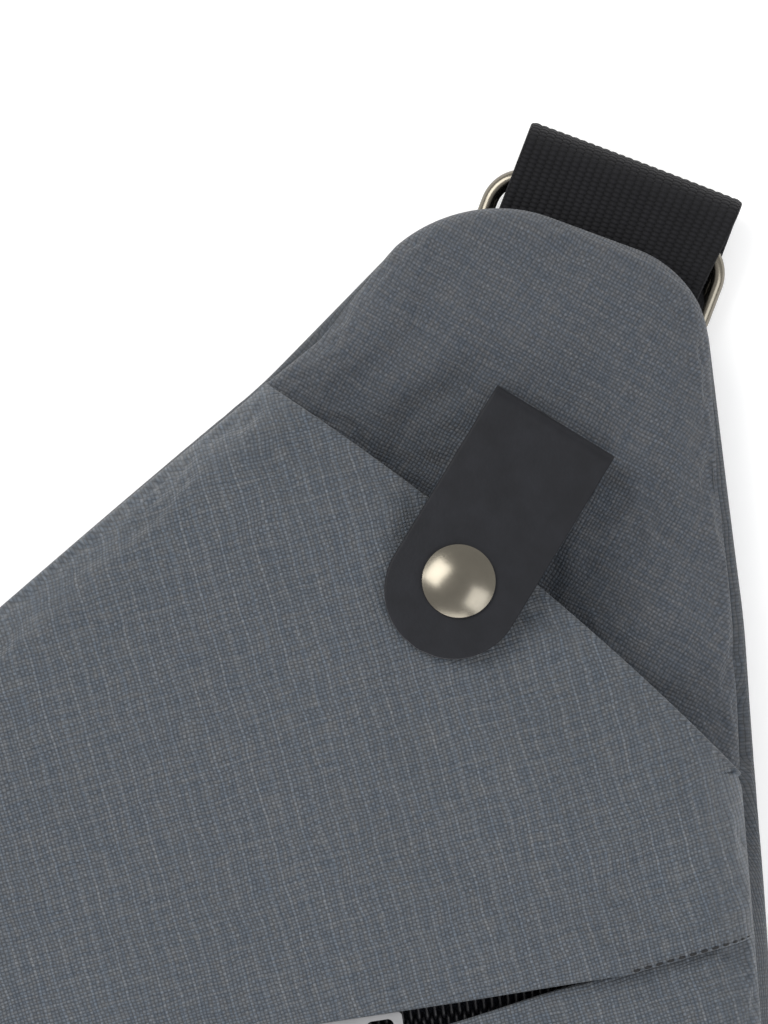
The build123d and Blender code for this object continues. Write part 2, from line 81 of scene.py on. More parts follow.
FRONT_ZIP_RIGHT = np.array((44.4, -84.0))
FRONT_ZIP_ANGLE = math.radians(8.65)
FRONT_ZIP_LENGTH = 128.0
FRONT_ZIP_HEIGHT = 35.0
FLAP_EDGE_END = np.array((67.8, -77.2))
MAIN_ZIP_START = 13.0
MAIN_ZIP_LENGTH = 86.0
MAIN_ZIP_HEIGHT = 15.2
MAIN_ZIP_SLOT = 9.6
TAB_FOLD = np.array((31.3, 16.6))
TAB_HEADING = np.array((-0.52, -0.854))
TAB_WIDTH = 25.0
TAB_LENGTH = 49.0
TAB_THICK = 1.3
TAB_BASE_LENGTH = 30.0
TAB_TILT = math.radians(8.0)
FLAP_AT_FOLD = 35.2
WEBBING = 40.0
WEBBING_THICK = 1.6
STRAP_ACROSS = 19.9
LEFT_CORNER = (-82.2, -91.8)     # across, along
RING_DEPTH = 19.5
TOP_BAR = (67.0, 5.4)
LOWER_BAR = (12.5, 4.6)
STRAP_LOW = 0.3
STRAP_HIGH = 2.1
STRAP_FIRST_FOLD = -284.0
STRAP_SECOND_FOLD = -168.0
STRAP_END_REACH = 24.0
RIB_PITCH = 1.5
BOUND_EDGE = 8.9                 # middle height of the bound edge
MM = 0.001


# --- Plan geometry ------------------------------------------------------------------------------
def unit(vector):
    """The vector at a length of 1."""
    vector = np.asarray(vector, float)
    return vector / np.linalg.norm(vector)


def smooth(value, low=0.0, high=1.0):
    """Smooth step from 0 at low to 1 at high."""
    t = np.clip((np.asarray(value, float) - low) / (high - low), 0.0, 1.0)
    return t * t * (3 - 2 * t)


def on_bag(across, along):
    """Plan position from distances across and along the leaning bag."""
    return ACROSS * across + ALONG * along


def resample(points, count, closed=False):
    """The same line with evenly spaced points."""
    points = np.asarray(points, float)
    if closed:
        points = np.vstack([points, points[:1]])
    steps = np.linalg.norm(np.diff(points, axis=0), axis=1)
    run = np.concatenate([[0.0], np.cumsum(steps)])
    where = np.linspace(0.0, run[-1], count + 1)[:-1] if closed else np.linspace(0.0, run[-1], count)
    return np.stack([np.interp(where, run, points[:, k]) for k in range(points.shape[1])], axis=1)


def rounded_outline(corners, count=1400):
    """The body's outline, clockwise from the left corner, evenly spaced."""
    points = []
    for index, (x, y, radius) in enumerate(corners):
        corner = np.array((x, y))
        before = unit(corner - np.array(corners[index - 1][:2]))
        after = unit(np.array(corners[(index + 1) % len(corners)][:2]) - corner)
        turn = before[0] * after[1] - before[1] * after[0]
        angle = math.atan2(turn, before @ after)
        reach = radius * math.tan(abs(angle) / 2)
        side = math.copysign(1.0, angle)
        centre = corner - before * reach + side * radius * np.array((-before[1], before[0]))
        spoke = corner - before * reach - centre
        for step in np.linspace(0.0, angle, 24):
            spin = np.array(((math.cos(step), -math.sin(step)), (math.sin(step), math.cos(step))))
            points.append(centre + spin @ spoke)
    return resample(points, count, closed=True)


def inward_of(line):
    """Unit vectors square to a closed clockwise line, pointing inwards."""
    tangent = np.roll(line, -1, axis=0) - np.roll(line, 1, axis=0)
    tangent /= np.linalg.norm(tangent, axis=1)[:, None]
    return np.stack([tangent[:, 1], -tangent[:, 0]], axis=1)


OUTLINE = rounded_outline(BODY_OUTLINE)
SPACING = np.linalg.norm(OUTLINE[1] - OUTLINE[0])
INWARD = inward_of(OUTLINE)

# The row frame's origin in plan, from where the frame holds the back panel.
ORIGIN = OUTLINE.min(axis=0) - np.array(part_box("back_panel")[0])[:2] / MM


def put(plan, height):
    """Plan points and heights, in millimetres, as row frame positions in metres."""
    plan = np.asarray(plan, float)
    height = np.broadcast_to(np.asarray(height, float), plan.shape[:-1])
    return np.concatenate([(plan - ORIGIN) * MM, height[..., None] * MM], axis=-1)


def nearest_index(point):
    """Number of the outline point nearest a plan point."""
    return int(np.argmin(np.linalg.norm(OUTLINE - np.asarray(point), axis=1)))


MOUTH_ALONG = unit(MOUTH_RIGHT - MOUTH_LEFT)
INTO_POCKET = np.array((MOUTH_ALONG[1], -MOUTH_ALONG[0]))
MOUTH_MIDDLE = (MOUTH_LEFT + MOUTH_RIGHT) / 2
ZIP_ALONG = np.array((math.cos(FRONT_ZIP_ANGLE), math.sin(FRONT_ZIP_ANGLE)))
ZIP_UP = np.array((-ZIP_ALONG[1], ZIP_ALONG[0]))
FRONT_ZIP_LEFT = FRONT_ZIP_RIGHT - ZIP_ALONG * FRONT_ZIP_LENGTH
SIDE_TOP = np.array(BODY_OUTLINE[1][:2])
SIDE_DOWN = unit(np.array(BODY_OUTLINE[0][:2]) - SIDE_TOP)
SIDE_OUT = np.array((SIDE_DOWN[1], -SIDE_DOWN[0]))
AT_MOUTH_LEFT = nearest_index(MOUTH_LEFT)
AT_MOUTH_RIGHT = nearest_index(MOUTH_RIGHT)
AT_FLAP_RIGHT = nearest_index(FLAP_EDGE_END + np.array((1.5, 0.4)))
AT_FLAP_LEFT = min(
    range(len(OUTLINE) // 2, len(OUTLINE)),
    key=lambda k: abs((OUTLINE[k] - FRONT_ZIP_LEFT) @ ZIP_UP) + 1000.0 * (OUTLINE[k][0] > -60.0),
)


def into_pocket(plan):
    """How far plan points lie inside the pocket, square to its mouth."""
    return (plan - MOUTH_MIDDLE) @ INTO_POCKET


def mouth_line(count, shift=0.0):
    """The pocket mouth's shallow arc, moved into the pocket by shift."""
    left = SEAM[AT_MOUTH_LEFT]
    right = SEAM[AT_MOUTH_RIGHT]
    t = np.linspace(0.0, 1.0, count)[:, None]
    bow = -4.0 * MOUTH_BOW * t * (1 - t)
    return left + (right - left) * t + INTO_POCKET * (bow + shift)


def nearest_on(points, line):
    """For each point, the number of the nearest point of a line and the distance to it."""
    flat = points.reshape(-1, points.shape[-1])
    found = np.empty(len(flat), int)
    gap = np.empty(len(flat))
    for start in range(0, len(flat), 4000):
        square = ((flat[start:start + 4000, None, :] - line[None, :, :]) ** 2).sum(axis=2)
        found[start:start + 4000] = square.argmin(axis=1)
        gap[start:start + 4000] = np.sqrt(square.min(axis=1))
    return found.reshape(points.shape[:-1]), gap.reshape(points.shape[:-1])


def seam_height(index):
    """Height of the seam along the outline: low round the lobe, high round the front panels."""
    past_left = ((AT_MOUTH_LEFT - index) % len(OUTLINE)) * SPACING
    past_right = ((index - AT_MOUTH_RIGHT) % len(OUTLINE)) * SPACING
    in_lobe = (index - AT_MOUTH_LEFT) % len(OUTLINE) < (AT_MOUTH_RIGHT - AT_MOUTH_LEFT) % len(OUTLINE)
    nearest = np.minimum(past_left, past_right)
    rise = smooth(nearest, -4.0, 34.0)
    return np.where(in_lobe, SEAM_LOW, SEAM_LOW + 2.0 + (SEAM_HIGH - SEAM_LOW - 2.0) * rise)


def seam_height_near(plan):
    """The seam's height at the outline point nearest each plan point."""
    return seam_height(nearest_on(plan, OUTLINE)[0])


def coons(low, high, left, right):
    """Plan grid between four boundary lines; low and high share u, left and right share v."""
    u = np.linspace(0.0, 1.0, len(low))[:, None, None]
    v = np.linspace(0.0, 1.0, len(left))[None, :, None]
    ruled_v = (1 - v) * low[:, None, :] + v * high[:, None, :]
    ruled_u = (1 - u) * left[None, :, :] + u * right[None, :, :]
    corners = (1 - u) * (1 - v) * low[0] + u * (1 - v) * low[-1] + (1 - u) * v * high[0] + u * v * high[-1]
    return ruled_v + ruled_u - corners


def tighten(grid, strength=0.75):
    """The same patch with its grid lines drawn closer together near all four edges."""
    n, m = grid.shape[:2]

    def eased(count):
        t = np.linspace(0.0, 1.0, count)
        return ((1 - strength) * t + strength * (1 - np.cos(np.pi * t)) / 2) * (count - 1)

    rows = eased(n)
    low = np.clip(rows.astype(int), 0, n - 2)
    part = (rows - low)[:, None, None]
    grid = grid[low] * (1 - part) + grid[low + 1] * part
    columns = eased(m)
    low = np.clip(columns.astype(int), 0, m - 2)
    part = (columns - low)[None, :, None]
    return grid[:, low] * (1 - part) + grid[:, low + 1] * part


def waves(plan, size, seed, count=7):
    """Smooth, gentle unevenness between about -1 and 1, made of a few fixed waves."""
    chance = np.random.default_rng(seed)
    total = np.zeros(plan.shape[:-1])
    for _ in range(count):
        turn = chance.uniform(0.0, math.tau)
        length = size * chance.uniform(0.6, 1.7)
        phase = chance.uniform(0.0, math.tau)
        run = plan[..., 0] * math.cos(turn) + plan[..., 1] * math.sin(turn)
        total += np.sin(run * math.tau / length + phase)
    return total / math.sqrt(count * 2)


def crease(plan, start, end, width, depth):
    """A soft fold along a line, deepest in its middle."""
    start = np.array(start)
    along = np.array(end) - start
    size = np.linalg.norm(along)
    along = along / size
    run = (plan - start) @ along / size
    off = (plan - start) @ np.array((-along[1], along[0]))
    fade = smooth(run, -0.25, 0.35) * smooth(-run, -1.25, -0.65)
    return depth * np.exp(-(off / width) ** 2) * fade


# --- Materials ----------------------------------------------------------------------------------
class Shade:
    """One procedural material, built a node at a time."""

    def __init__(self, name):
        self.material = bpy.data.materials.new(name)
        self.material.use_nodes = True
        self.nodes = self.material.node_tree.nodes
        self.links = self.material.node_tree.links
        self.nodes.clear()
        out = self.nodes.new("ShaderNodeOutputMaterial")
        self.shader = self.nodes.new("ShaderNodeBsdfPrincipled")
        self.links.new(self.shader.outputs[0], out.inputs[0])

    def feed(self, socket, value):
        if isinstance(value, bpy.types.NodeSocket):
            self.links.new(value, socket)
        else:
            socket.default_value = value

    def math(self, operation, *values, clamp=False):
        node = self.nodes.new("ShaderNodeMath")
        node.operation = operation
        node.use_clamp = clamp
        for socket, value in zip(node.inputs, values):
            self.feed(socket, value)
        return node.outputs[0]

    def times(self, one, two):
        return self.math("MULTIPLY", one, two)

    def plus(self, one, two):
        return self.math("ADD", one, two)

    def minus(self, one, two):
        return self.math("SUBTRACT", one, two)

    def fit(self, value, gain, offset):
        """A value times a gain, plus an offset."""
        return self.math("MULTIPLY_ADD", value, gain, offset)

    def size(self, value):
        return self.math("ABSOLUTE", value)

    def sine(self, value):
        return self.math("SINE", value)

    def cosine(self, value):
        return self.math("COSINE", value)

    def place(self, kind):
        """Surface coordinates in millimetres: the piece's own cloth, or the object's space."""
        coordinates = self.nodes.new("ShaderNodeTexCoord")
        if kind == "cloth":
            return coordinates.outputs["UV"]
        scale = self.nodes.new("ShaderNodeVectorMath")
        scale.operation = "SCALE"
        scale.inputs["Scale"].default_value = 1.0 / MM
        self.links.new(coordinates.outputs["Object"], scale.inputs[0])
        return scale.outputs[0]

    def split(self, vector):
        node = self.nodes.new("ShaderNodeSeparateXYZ")
        self.links.new(vector, node.inputs[0])
        return node.outputs[0], node.outputs[1], node.outputs[2]

    def join(self, x, y, z=0.0):
        node = self.nodes.new("ShaderNodeCombineXYZ")
        for socket, value in zip(node.inputs, (x, y, z)):
            self.feed(socket, value)
        return node.outputs[0]

    def noise(self, vector, scale, detail=2.0, roughness=0.5):
        node = self.nodes.new("ShaderNodeTexNoise")
        self.feed(node.inputs["Vector"], vector)
        node.inputs["Scale"].default_value = scale
        node.inputs["Detail"].default_value = detail
        node.inputs["Roughness"].default_value = roughness
        return node.outputs["Fac"]

    def cells(self, vector, scale):
        node = self.nodes.new("ShaderNodeTexVoronoi")
        self.feed(node.inputs["Vector"], vector)
        node.inputs["Scale"].default_value = scale
        return node.outputs["Distance"]

    def ramp(self, value, *stops):
        """Colour for a value, from (position, colour) stops."""
        node = self.nodes.new("ShaderNodeValToRGB")
        self.feed(node.inputs[0], value)
        band = node.color_ramp.elements
        while len(band) < len(stops):
            band.new(1.0)
        for element, (position, colour) in zip(band, stops):
            element.position = position
            element.color = (*colour, 1.0)
        return node.outputs[0]

    def scaled_colour(self, colour, amount):
        node = self.nodes.new("ShaderNodeVectorMath")
        node.operation = "SCALE"
        self.feed(node.inputs[0], colour)
        self.feed(node.inputs["Scale"], amount)
        return node.outputs[0]

    def bump(self, height, distance, strength):
        node = self.nodes.new("ShaderNodeBump")
        node.inputs["Distance"].default_value = distance * MM
        node.inputs["Strength"].default_value = strength
        self.links.new(height, node.inputs["Height"])
        return node.outputs[0]

    def finish(self, colour, roughness, normal=None, **uniform):
        self.feed(self.shader.inputs["Base Color"], colour)
        self.feed(self.shader.inputs["Roughness"], roughness)
        if normal is not None:
            self.links.new(normal, self.shader.inputs["Normal"])
        for name, value in uniform.items():
            self.shader.inputs[name.replace("_", " ")].default_value = value
        return self.material


def lighter(colour, gain):
    """A colour made lighter, or darker by a gain below 1."""
    return tuple(gain * channel for channel in colour)


def woven(name, colour, pitch=0.66, grid=3.0, grid_gain=0.22, contrast=1.0):
    """Plain weave of slubby two-tone threads with a lighter ripstop grid."""
    shade = Shade(name)
    place = shade.place("cloth")
    u, v, _ = shade.split(place)
    drift = shade.minus(shade.noise(place, 0.11, 2.0), 0.5)
    u = shade.fit(drift, 1.5, u)
    drift = shade.minus(shade.noise(place, 0.13, 3.0), 0.5)
    v = shade.fit(drift, 1.3, v)
    warp = shade.sine(shade.times(u, math.pi / pitch))
    weft = shade.sine(shade.times(v, math.pi / (pitch * 0.93)))
    cell = shade.times(warp, weft)
    crown = shade.math("POWER", shade.size(cell), 0.5)
    over = shade.fit(shade.math("SIGN", cell), 0.5, 0.5)
    slub_u = shade.noise(shade.join(shade.times(u, 1.6), shade.times(v, 0.16)), 1.0, 2.0, 0.6)
    slub_v = shade.noise(shade.join(shade.times(u, 0.16), shade.times(v, 1.6), 7.0), 1.0, 2.0, 0.6)
    fleck = shade.noise(place, 1.35, 2.0, 0.65)

    def line(value, sharp):
        wave = shade.cosine(shade.times(value, math.tau / grid))
        return shade.math("POWER", shade.fit(wave, 0.5, 0.5), sharp)

    rip = shade.math("MAXIMUM", line(u, 16.0), shade.times(line(v, 16.0), 0.45))
    thread_u = shade.fit(shade.minus(slub_u, 0.5), 1.0 * contrast, 1.06)
    thread_v = shade.fit(shade.minus(slub_v, 0.5), 1.0 * contrast, 0.88)
    difference = shade.minus(thread_u, thread_v)
    tone = shade.fit(difference, over, thread_v)
    tone = shade.times(tone, shade.fit(crown, 0.66, 0.44))
    tone = shade.times(tone, shade.fit(fleck, 0.9 * contrast, 1.0 - 0.45 * contrast))
    tone = shade.times(tone, shade.fit(rip, grid_gain, 1.0))
    patch = shade.noise(place, 0.035, 2.0)
    tone = shade.times(tone, shade.fit(patch, 0.16, 0.94))
    bluer = tuple(channel * gain for channel, gain in zip(colour, (0.93, 1.01, 1.09)))
    greyer = tuple(channel * gain for channel, gain in zip(colour, (1.07, 1.02, 0.96)))
    hue = shade.ramp(shade.fit(slub_u, 0.5, shade.times(slub_v, 0.5)),
                     (0.40, bluer), (0.60, greyer))
    height = shade.fit(rip, 0.35, crown)
    height = shade.fit(fleck, 0.5, height)
    normal = shade.bump(height, 0.16, 0.85)
    return shade.finish(shade.scaled_colour(hue, tone), 0.82, normal, Sheen_Weight=0.12, Sheen_Roughness=0.5,
                        Specular_IOR_Level=0.32)


def webbing_material(name, colour):
    """Black ribbed webbing: short floats of thread on the ribs that are in the mesh."""
    shade = Shade(name)
    place = shade.place("cloth")
    u, v, _ = shade.split(place)
    odd = shade.math("FLOORED_MODULO", shade.math("FLOOR", shade.math("DIVIDE", u, RIB_PITCH)), 2.0)
    shifted = shade.fit(odd, 0.42, v)
    twill = shade.size(shade.sine(shade.times(shifted, math.pi / 0.84)))
    rib = shade.size(shade.sine(shade.times(u, math.pi / RIB_PITCH)))
    fuzz = shade.noise(place, 2.2, 3.0, 0.7)
    tone = shade.fit(twill, 0.5, 0.5)
    tone = shade.times(tone, shade.fit(rib, 0.55, 0.62))
    tone = shade.times(tone, shade.fit(fuzz, 0.9, 0.6))
    height = shade.fit(fuzz, 0.4, shade.fit(rib, 0.8, twill))
    base = shade.ramp(shade.noise(place, 0.2, 2.0), (0.3, colour), (0.7, lighter(colour, 1.25)))
    return shade.finish(shade.scaled_colour(base, tone), 0.74, shade.bump(height, 0.14, 0.9),
                        Sheen_Weight=0.04, Specular_IOR_Level=0.16)


def leather_material(name, colour, roughness=0.52):
    """Fine matte leather grain with faint pull-up marks."""
    shade = Shade(name)
    place = shade.place("cloth")
    grain = shade.cells(place, 1.7)
    fine = shade.cells(place, 3.6)
    broad = shade.noise(place, 0.16, 4.0, 0.6)
    wear = shade.noise(place, 0.9, 4.0, 0.6)
    tone = shade.fit(broad, 0.5, 0.75)
    tone = shade.times(tone, shade.fit(wear, 0.3, 0.85))
    base = shade.ramp(broad, (0.35, colour), (0.7, lighter(colour, 1.2)))
    height = shade.fit(fine, 0.5, grain)
    height = shade.fit(wear, 0.4, height)
    rough = shade.fit(wear, 0.16, roughness - 0.08)
    return shade.finish(shade.scaled_colour(base, tone), rough, shade.bump(height, 0.05, 0.55),
                        Specular_IOR_Level=0.22)


def cut_edge_material(name, colour):
    """The raw fibrous edge of split leather."""
    shade = Shade(name)
    place = shade.place("object")
    fibre = shade.noise(place, 2.8, 4.0, 0.7)
    base = shade.ramp(fibre, (0.3, colour), (0.7, lighter(colour, 1.7)))
    return shade.finish(base, 0.8, shade.bump(fibre, 0.12, 0.7))


def mesh_material(name, colour):
    """Spacer mesh: a dark knit with rows of open hexagonal holes."""
    shade = Shade(name)
    place = shade.place("object")
    u, v, _ = shade.split(place)
    along = shade.plus(shade.times(u, 0.94), shade.times(v, -0.34))
    side = shade.plus(shade.times(u, 0.34), shade.times(v, 0.94))
    step = 2.6                       # between holes
    slant = math.pi * 1.732 / step   # 1.732 is the root of 3
    one = shade.cosine(shade.times(along, math.tau / step))
    two = shade.cosine(shade.fit(side, slant,
                                          shade.times(along, math.pi / step)))
    three = shade.cosine(shade.fit(side, slant,
                                            shade.times(along, -math.pi / step)))
    total = shade.plus(one, shade.plus(two, three))
    hole = shade.math("MULTIPLY_ADD", total, 0.8, -0.9, clamp=True)
    knit = shade.noise(place, 3.0, 3.0, 0.7)
    tone = shade.times(shade.fit(hole, -0.85, 1.0), shade.fit(knit, 0.8, 0.6))
    height = shade.fit(knit, 0.3, shade.times(hole, -1.0))
    base = shade.ramp(knit, (0.3, colour), (0.8, lighter(colour, 1.5)))
    return shade.finish(shade.scaled_colour(base, tone), 0.85, shade.bump(height, 0.6, 0.9),
                        Sheen_Weight=0.15)


def metal_material(name, colour, roughness, wear=0.08):
    """Plated metal with hairline scratches and slightly uneven polish."""
    shade = Shade(name)
    place = shade.place("object")
    u, v, w = shade.split(place)
    hairs = shade.noise(shade.join(shade.times(u, 0.4), shade.times(v, 5.0), w), 1.6, 3.0, 0.7)
    cloud = shade.noise(place, 0.22, 3.0, 0.6)
    rough = shade.plus(shade.times(hairs, wear), shade.fit(cloud, wear, roughness - wear))
    base = shade.ramp(cloud, (0.3, colour), (0.7, lighter(colour, 1.12)))
    return shade.finish(base, rough, shade.bump(hairs, 0.006, 0.5), Metallic=1.0)


def plastic_material(name, colour, roughness=0.4):
    """Moulded nylon with a fine spark-eroded texture."""
    shade = Shade(name)
    place = shade.place("object")
    spark = shade.noise(place, 3.2, 3.0, 0.6)
    cloud = shade.noise(place, 0.15, 3.0, 0.6)
    base = shade.ramp(cloud, (0.3, colour), (0.7, lighter(colour, 1.3)))
    rough = shade.fit(spark, 0.2, roughness - 0.1)
    return shade.finish(base, rough, shade.bump(spark, 0.05, 0.5))


def foam_material(name, colour):
    """Open-celled foam."""
    shade = Shade(name)
    place = shade.place("object")
    cell = shade.cells(place, 1.1)
    base = shade.ramp(cell, (0.1, lighter(colour, 0.6)), (0.6, colour))
    return shade.finish(base, 0.95, shade.bump(cell, 0.4, 0.8))


def floor_material():
    """Plain pale ground with a barely visible tooth."""
    shade = Shade("pale_floor")
    place = shade.place("object")
    tooth = shade.noise(place, 0.4, 3.0)
    base = shade.ramp(tooth, (0.3, (0.90, 0.90, 0.90)), (0.7, (0.915, 0.915, 0.915)))
    return shade.finish(base, 0.9, Emission_Color=(1.0, 1.0, 1.0, 1.0), Emission_Strength=0.28)


OUTER = woven("outer_cloth", (0.077, 0.086, 0.099), grid_gain=0.32)
# The lobe's cloth is the outer cloth made darker and given a fainter grid; the darker tone is painted shade.
LOBE_SHADED_CLOTH = woven("lobe_cloth_painted_shade", (0.068, 0.075, 0.087), grid_gain=0.17)
# The side cloth is darker than the outer cloth: partly its own darker tone, partly painted shade on the wall
# that faces sideways.
SIDE_CLOTH_AND_SHADE = woven("side_cloth_and_painted_shade", (0.047, 0.053, 0.062), grid_gain=0.2)
LINING = woven("lining_cloth", (0.022, 0.026, 0.038), pitch=0.4, grid=60.0, grid_gain=0.0, contrast=0.7)
TAPE = woven("binding_cloth", (0.016, 0.016, 0.019), pitch=0.5, grid=2.0, grid_gain=0.3, contrast=0.7)
WEB = webbing_material("webbing_cloth", (0.0075, 0.0075, 0.009))
LEATHER = leather_material("tab_leather", (0.0085, 0.009, 0.0115), 0.6)
LEATHER_EDGE = cut_edge_material("tab_cut_edge", (0.045, 0.045, 0.050))
SPACER = mesh_material("spacer_mesh", (0.022, 0.022, 0.025))
NICKEL = metal_material("nickel", (0.185, 0.169, 0.138), 0.25)
ZIP_METAL = metal_material("zip_metal", (0.40, 0.40, 0.41), 0.32, 0.12)
ZIP_COIL = plastic_material("zip_coil_nylon", (0.016, 0.016, 0.019), 0.42)
MOULDED = plastic_material("moulded_nylon", (0.014, 0.014, 0.016), 0.36)
BOARD = plastic_material("stiffener_sheet", (0.05, 0.05, 0.055), 0.55)
FOAM = foam_material("grey_foam", (0.30, 0.30, 0.32))
THREAD_SPOOL = plastic_material("thread", (0.005, 0.005, 0.006), 0.75)


# --- Mesh making --------------------------------------------------------------------------------
def finish_piece(obj, body, slot_name, *nodes):
    """Hang a piece on its body and hide the design's nodes that it stands for; slot_name is not used."""
    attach(obj, body)
    if nodes:
        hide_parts(*nodes)


def shade_smooth(mesh):
    mesh.polygons.foreach_set("use_smooth", [True] * len(mesh.polygons))


def mesh_object(name, points, faces, *materials, cloth=None):
    """A smooth-shaded mesh from points in metres; cloth is one coordinate pair per face corner."""
    mesh = bpy.data.meshes.new(name)
    mesh.from_pydata(np.asarray(points).reshape(-1, 3).tolist(), [], np.asarray(faces).tolist())
    if cloth is not None:
        layer = mesh.uv_layers.new(name="cloth")
        layer.data.foreach_set("uv", np.asarray(cloth, np.float32).ravel())
    shade_smooth(mesh)
    for material in materials:
        mesh.materials.append(material)
    mesh.update()
    obj = bpy.data.objects.new(name, mesh)
    bpy.context.scene.collection.objects.link(obj)
    return obj


def grid_faces(n, m, ring_n=False, ring_m=False):
    """Quads of an n by m grid, and the cloth index of each corner on an unwrapped grid."""
    rows = n if ring_n else n - 1
    columns = m if ring_m else m - 1
    i, j = np.meshgrid(np.arange(rows), np.arange(columns), indexing="ij")
    corners = [(i, j), (i + 1, j), (i + 1, j + 1), (i, j + 1)]
    faces = np.stack([(a % n) * m + (b % m) for a, b in corners], axis=-1).reshape(-1, 4)
    flat = np.stack([a * (columns + 1) + b for a, b in corners], axis=-1).reshape(-1, 4)
    return faces, flat


def faces_down(points):
    """Whether the faces of a grid point downwards on the whole."""
    edge_one = points[1:, :-1] - points[:-1, :-1]
    edge_two = points[:-1, 1:] - points[:-1, :-1]
    return np.cross(edge_one, edge_two)[..., 2].sum() < 0


def sheet_object(name, points, cloth, *materials, thick=0.0, up=True, rim=0, centred=False):
    """An open sheet, given a thickness on its inner side."""
    faces, flat = grid_faces(*points.shape[:2])
    if up and faces_down(points):
        faces = faces[:, ::-1]
        flat = flat[:, ::-1]
    obj = mesh_object(name, points, faces, *materials, cloth=cloth.reshape(-1, 2)[flat.ravel()])
    if thick:
        solid = obj.modifiers.new("thick", "SOLIDIFY")
        solid.thickness = thick * MM
        solid.offset = 0.0 if centred else -1.0
        solid.material_offset_rim = rim
        apply_modifiers(obj)
    return obj


def apply_modifiers(obj):
    """Put the object's mesh as its modifiers leave it in place of its own."""
    bpy.context.view_layer.update()
    source = obj.evaluated_get(bpy.context.evaluated_depsgraph_get())
    mesh = bpy.data.meshes.new_from_object(source)
    obj.modifiers.clear()
    old = obj.data
    obj.data = mesh
    bpy.data.meshes.remove(old)
    mesh.name = obj.name
    shade_smooth(mesh)


def spline_rows(values, step, count):
    """Values given at every step-th row, filled in smoothly along the first axis."""
    where = np.minimum(np.arange(count) / step, len(values) - 1.0)
    base = np.clip(where.astype(int), 0, len(values) - 2)
    t = (where - base).reshape((-1,) + (1,) * (values.ndim - 1))
    before = values[np.clip(base - 1, 0, None)]
    after = values[np.clip(base + 2, None, len(values) - 1)]
    low = values[base]
    high = values[base + 1]
    first = 0.5 * (high - before)
    last = 0.5 * (after - low)
    cubic = (2 * t ** 3 - 3 * t ** 2 + 1) * low + (t ** 3 - 2 * t ** 2 + t) * first
    return cubic + (3 * t ** 2 - 2 * t ** 3) * high + (t ** 3 - t ** 2) * last


def settled(points, step, held, swell, growth, cap, frames=20):
    """Cloth simulation of every step-th grid point: the sheet is grown a little, pressed outwards and held at
    its seams. Its movement, no more than the cap in millimetres, is filled in for the whole grid."""
    n, m = points.shape[:2]
    coarse = points[::step, ::step]
    faces, _ = grid_faces(*coarse.shape[:2])
    if faces_down(coarse):
        faces = faces[:, ::-1]
    obj = mesh_object("settling", coarse, faces)
    group = obj.vertex_groups.new(name="held")
    group.add(np.flatnonzero(held[::step, ::step].ravel()).tolist(), 1.0, "REPLACE")
    moved = simulate(obj, "held", swell, growth, frames).reshape(coarse.shape)
    shift = moved - coarse
    size = np.linalg.norm(shift, axis=-1, keepdims=True)
    shift *= np.tanh(size / (cap * MM)) * cap * MM / np.maximum(size, 1e-9)
    shift = spline_rows(shift, step, n)
    shift = spline_rows(shift.swapaxes(0, 1), step, m).swapaxes(0, 1)
    border = np.concatenate([points[0], points[-1], points[:, 0], points[:, -1]])[::2]
    free = smooth(nearest_on(points, border)[1], 0.3 * MM, 5.0 * MM)
    return points + shift * free[..., None]


def simulate(obj, pin, swell, growth, frames):
    """Run the Cloth modifier to its last frame, read the points and remove the object."""
    cloth = obj.modifiers.new("settle", "CLOTH")
    settings = cloth.settings
    if pin:
        settings.vertex_group_mass = pin
    settings.quality = 8
    settings.mass = 0.15
    settings.tension_stiffness = 25.0
    settings.compression_stiffness = 25.0
    settings.shear_stiffness = 12.0
    settings.bending_stiffness = 0.6
    settings.use_pressure = True
    settings.uniform_pressure_force = swell
    settings.shrink_min = -growth
    settings.effector_weights.gravity = 0.0
    cloth.collision_settings.use_collision = False
    cloth.point_cache.frame_start = 1
    cloth.point_cache.frame_end = frames
    scene = bpy.context.scene
    for number in range(1, frames + 1):
        scene.frame_set(number)
    source = obj.evaluated_get(bpy.context.evaluated_depsgraph_get())
    moved = np.empty(len(source.data.vertices) * 3)
    source.data.vertices.foreach_get("co", moved)
    scene.frame_set(1)
    mesh = obj.data
    bpy.data.objects.remove(obj)
    bpy.data.meshes.remove(mesh)
    return moved.reshape(-1, 3)


# --- Shell of the bag ---------------------------------------------------------------------------
# How far the sewn seam lies inside the outline, which the bulging side wall reaches; below 0 it overhangs.
SEAM_INSETS = [
    ((-60.0, -10.0), -0.6), ((-21.3, 23.0), 0.0), ((-13.0, 33.0), 1.4), ((3.0, 48.5), -0.8),
    ((25.0, 54.0), -1.1), ((57.0, 38.0), -0.9), ((62.0, 5.0), 1.0), ((66.0, -45.0), 2.1),
    ((68.5, -75.0), 1.8), ((60.0, -170.0), 0.6), ((-90.0, -180.0), 0.4), ((-106.0, -58.0), -0.4),
]


def inset_all_round(places):
    """The inset at every outline point, from insets given at a few places."""
    where, insets = zip(*sorted((nearest_index(point), inset) for point, inset in places))
    return np.interp(np.arange(len(OUTLINE)), where, insets, period=len(OUTLINE))


SEAM_IN = inset_all_round(SEAM_INSETS)
SEAM = OUTLINE + INWARD * SEAM_IN[:, None]
LOBE_CLOTH = np.array((0.5, 0.866))       # across the strong threads of the lobe
FRONT_CLOTH = np.array((0.96, 0.28))      # across the strong threads of the front panels
PATCH_CORNER = (-106.0, -58.0)


def seam_part(start, end, count, line=SEAM):
    """Part of a line round the body, clockwise from one index to another."""
    if end < start:
        end += len(line)
    return resample(line[np.arange(start, end + 1) % len(line)], count)


def between(start, line, end, count):
    """A line with given ends that otherwise follows another line."""
    clear = (np.linalg.norm(line - start, axis=1) > 2.5) & (np.linalg.norm(line - end, axis=1) > 2.5)
    return resample(np.vstack([start, line[clear], end]), count)


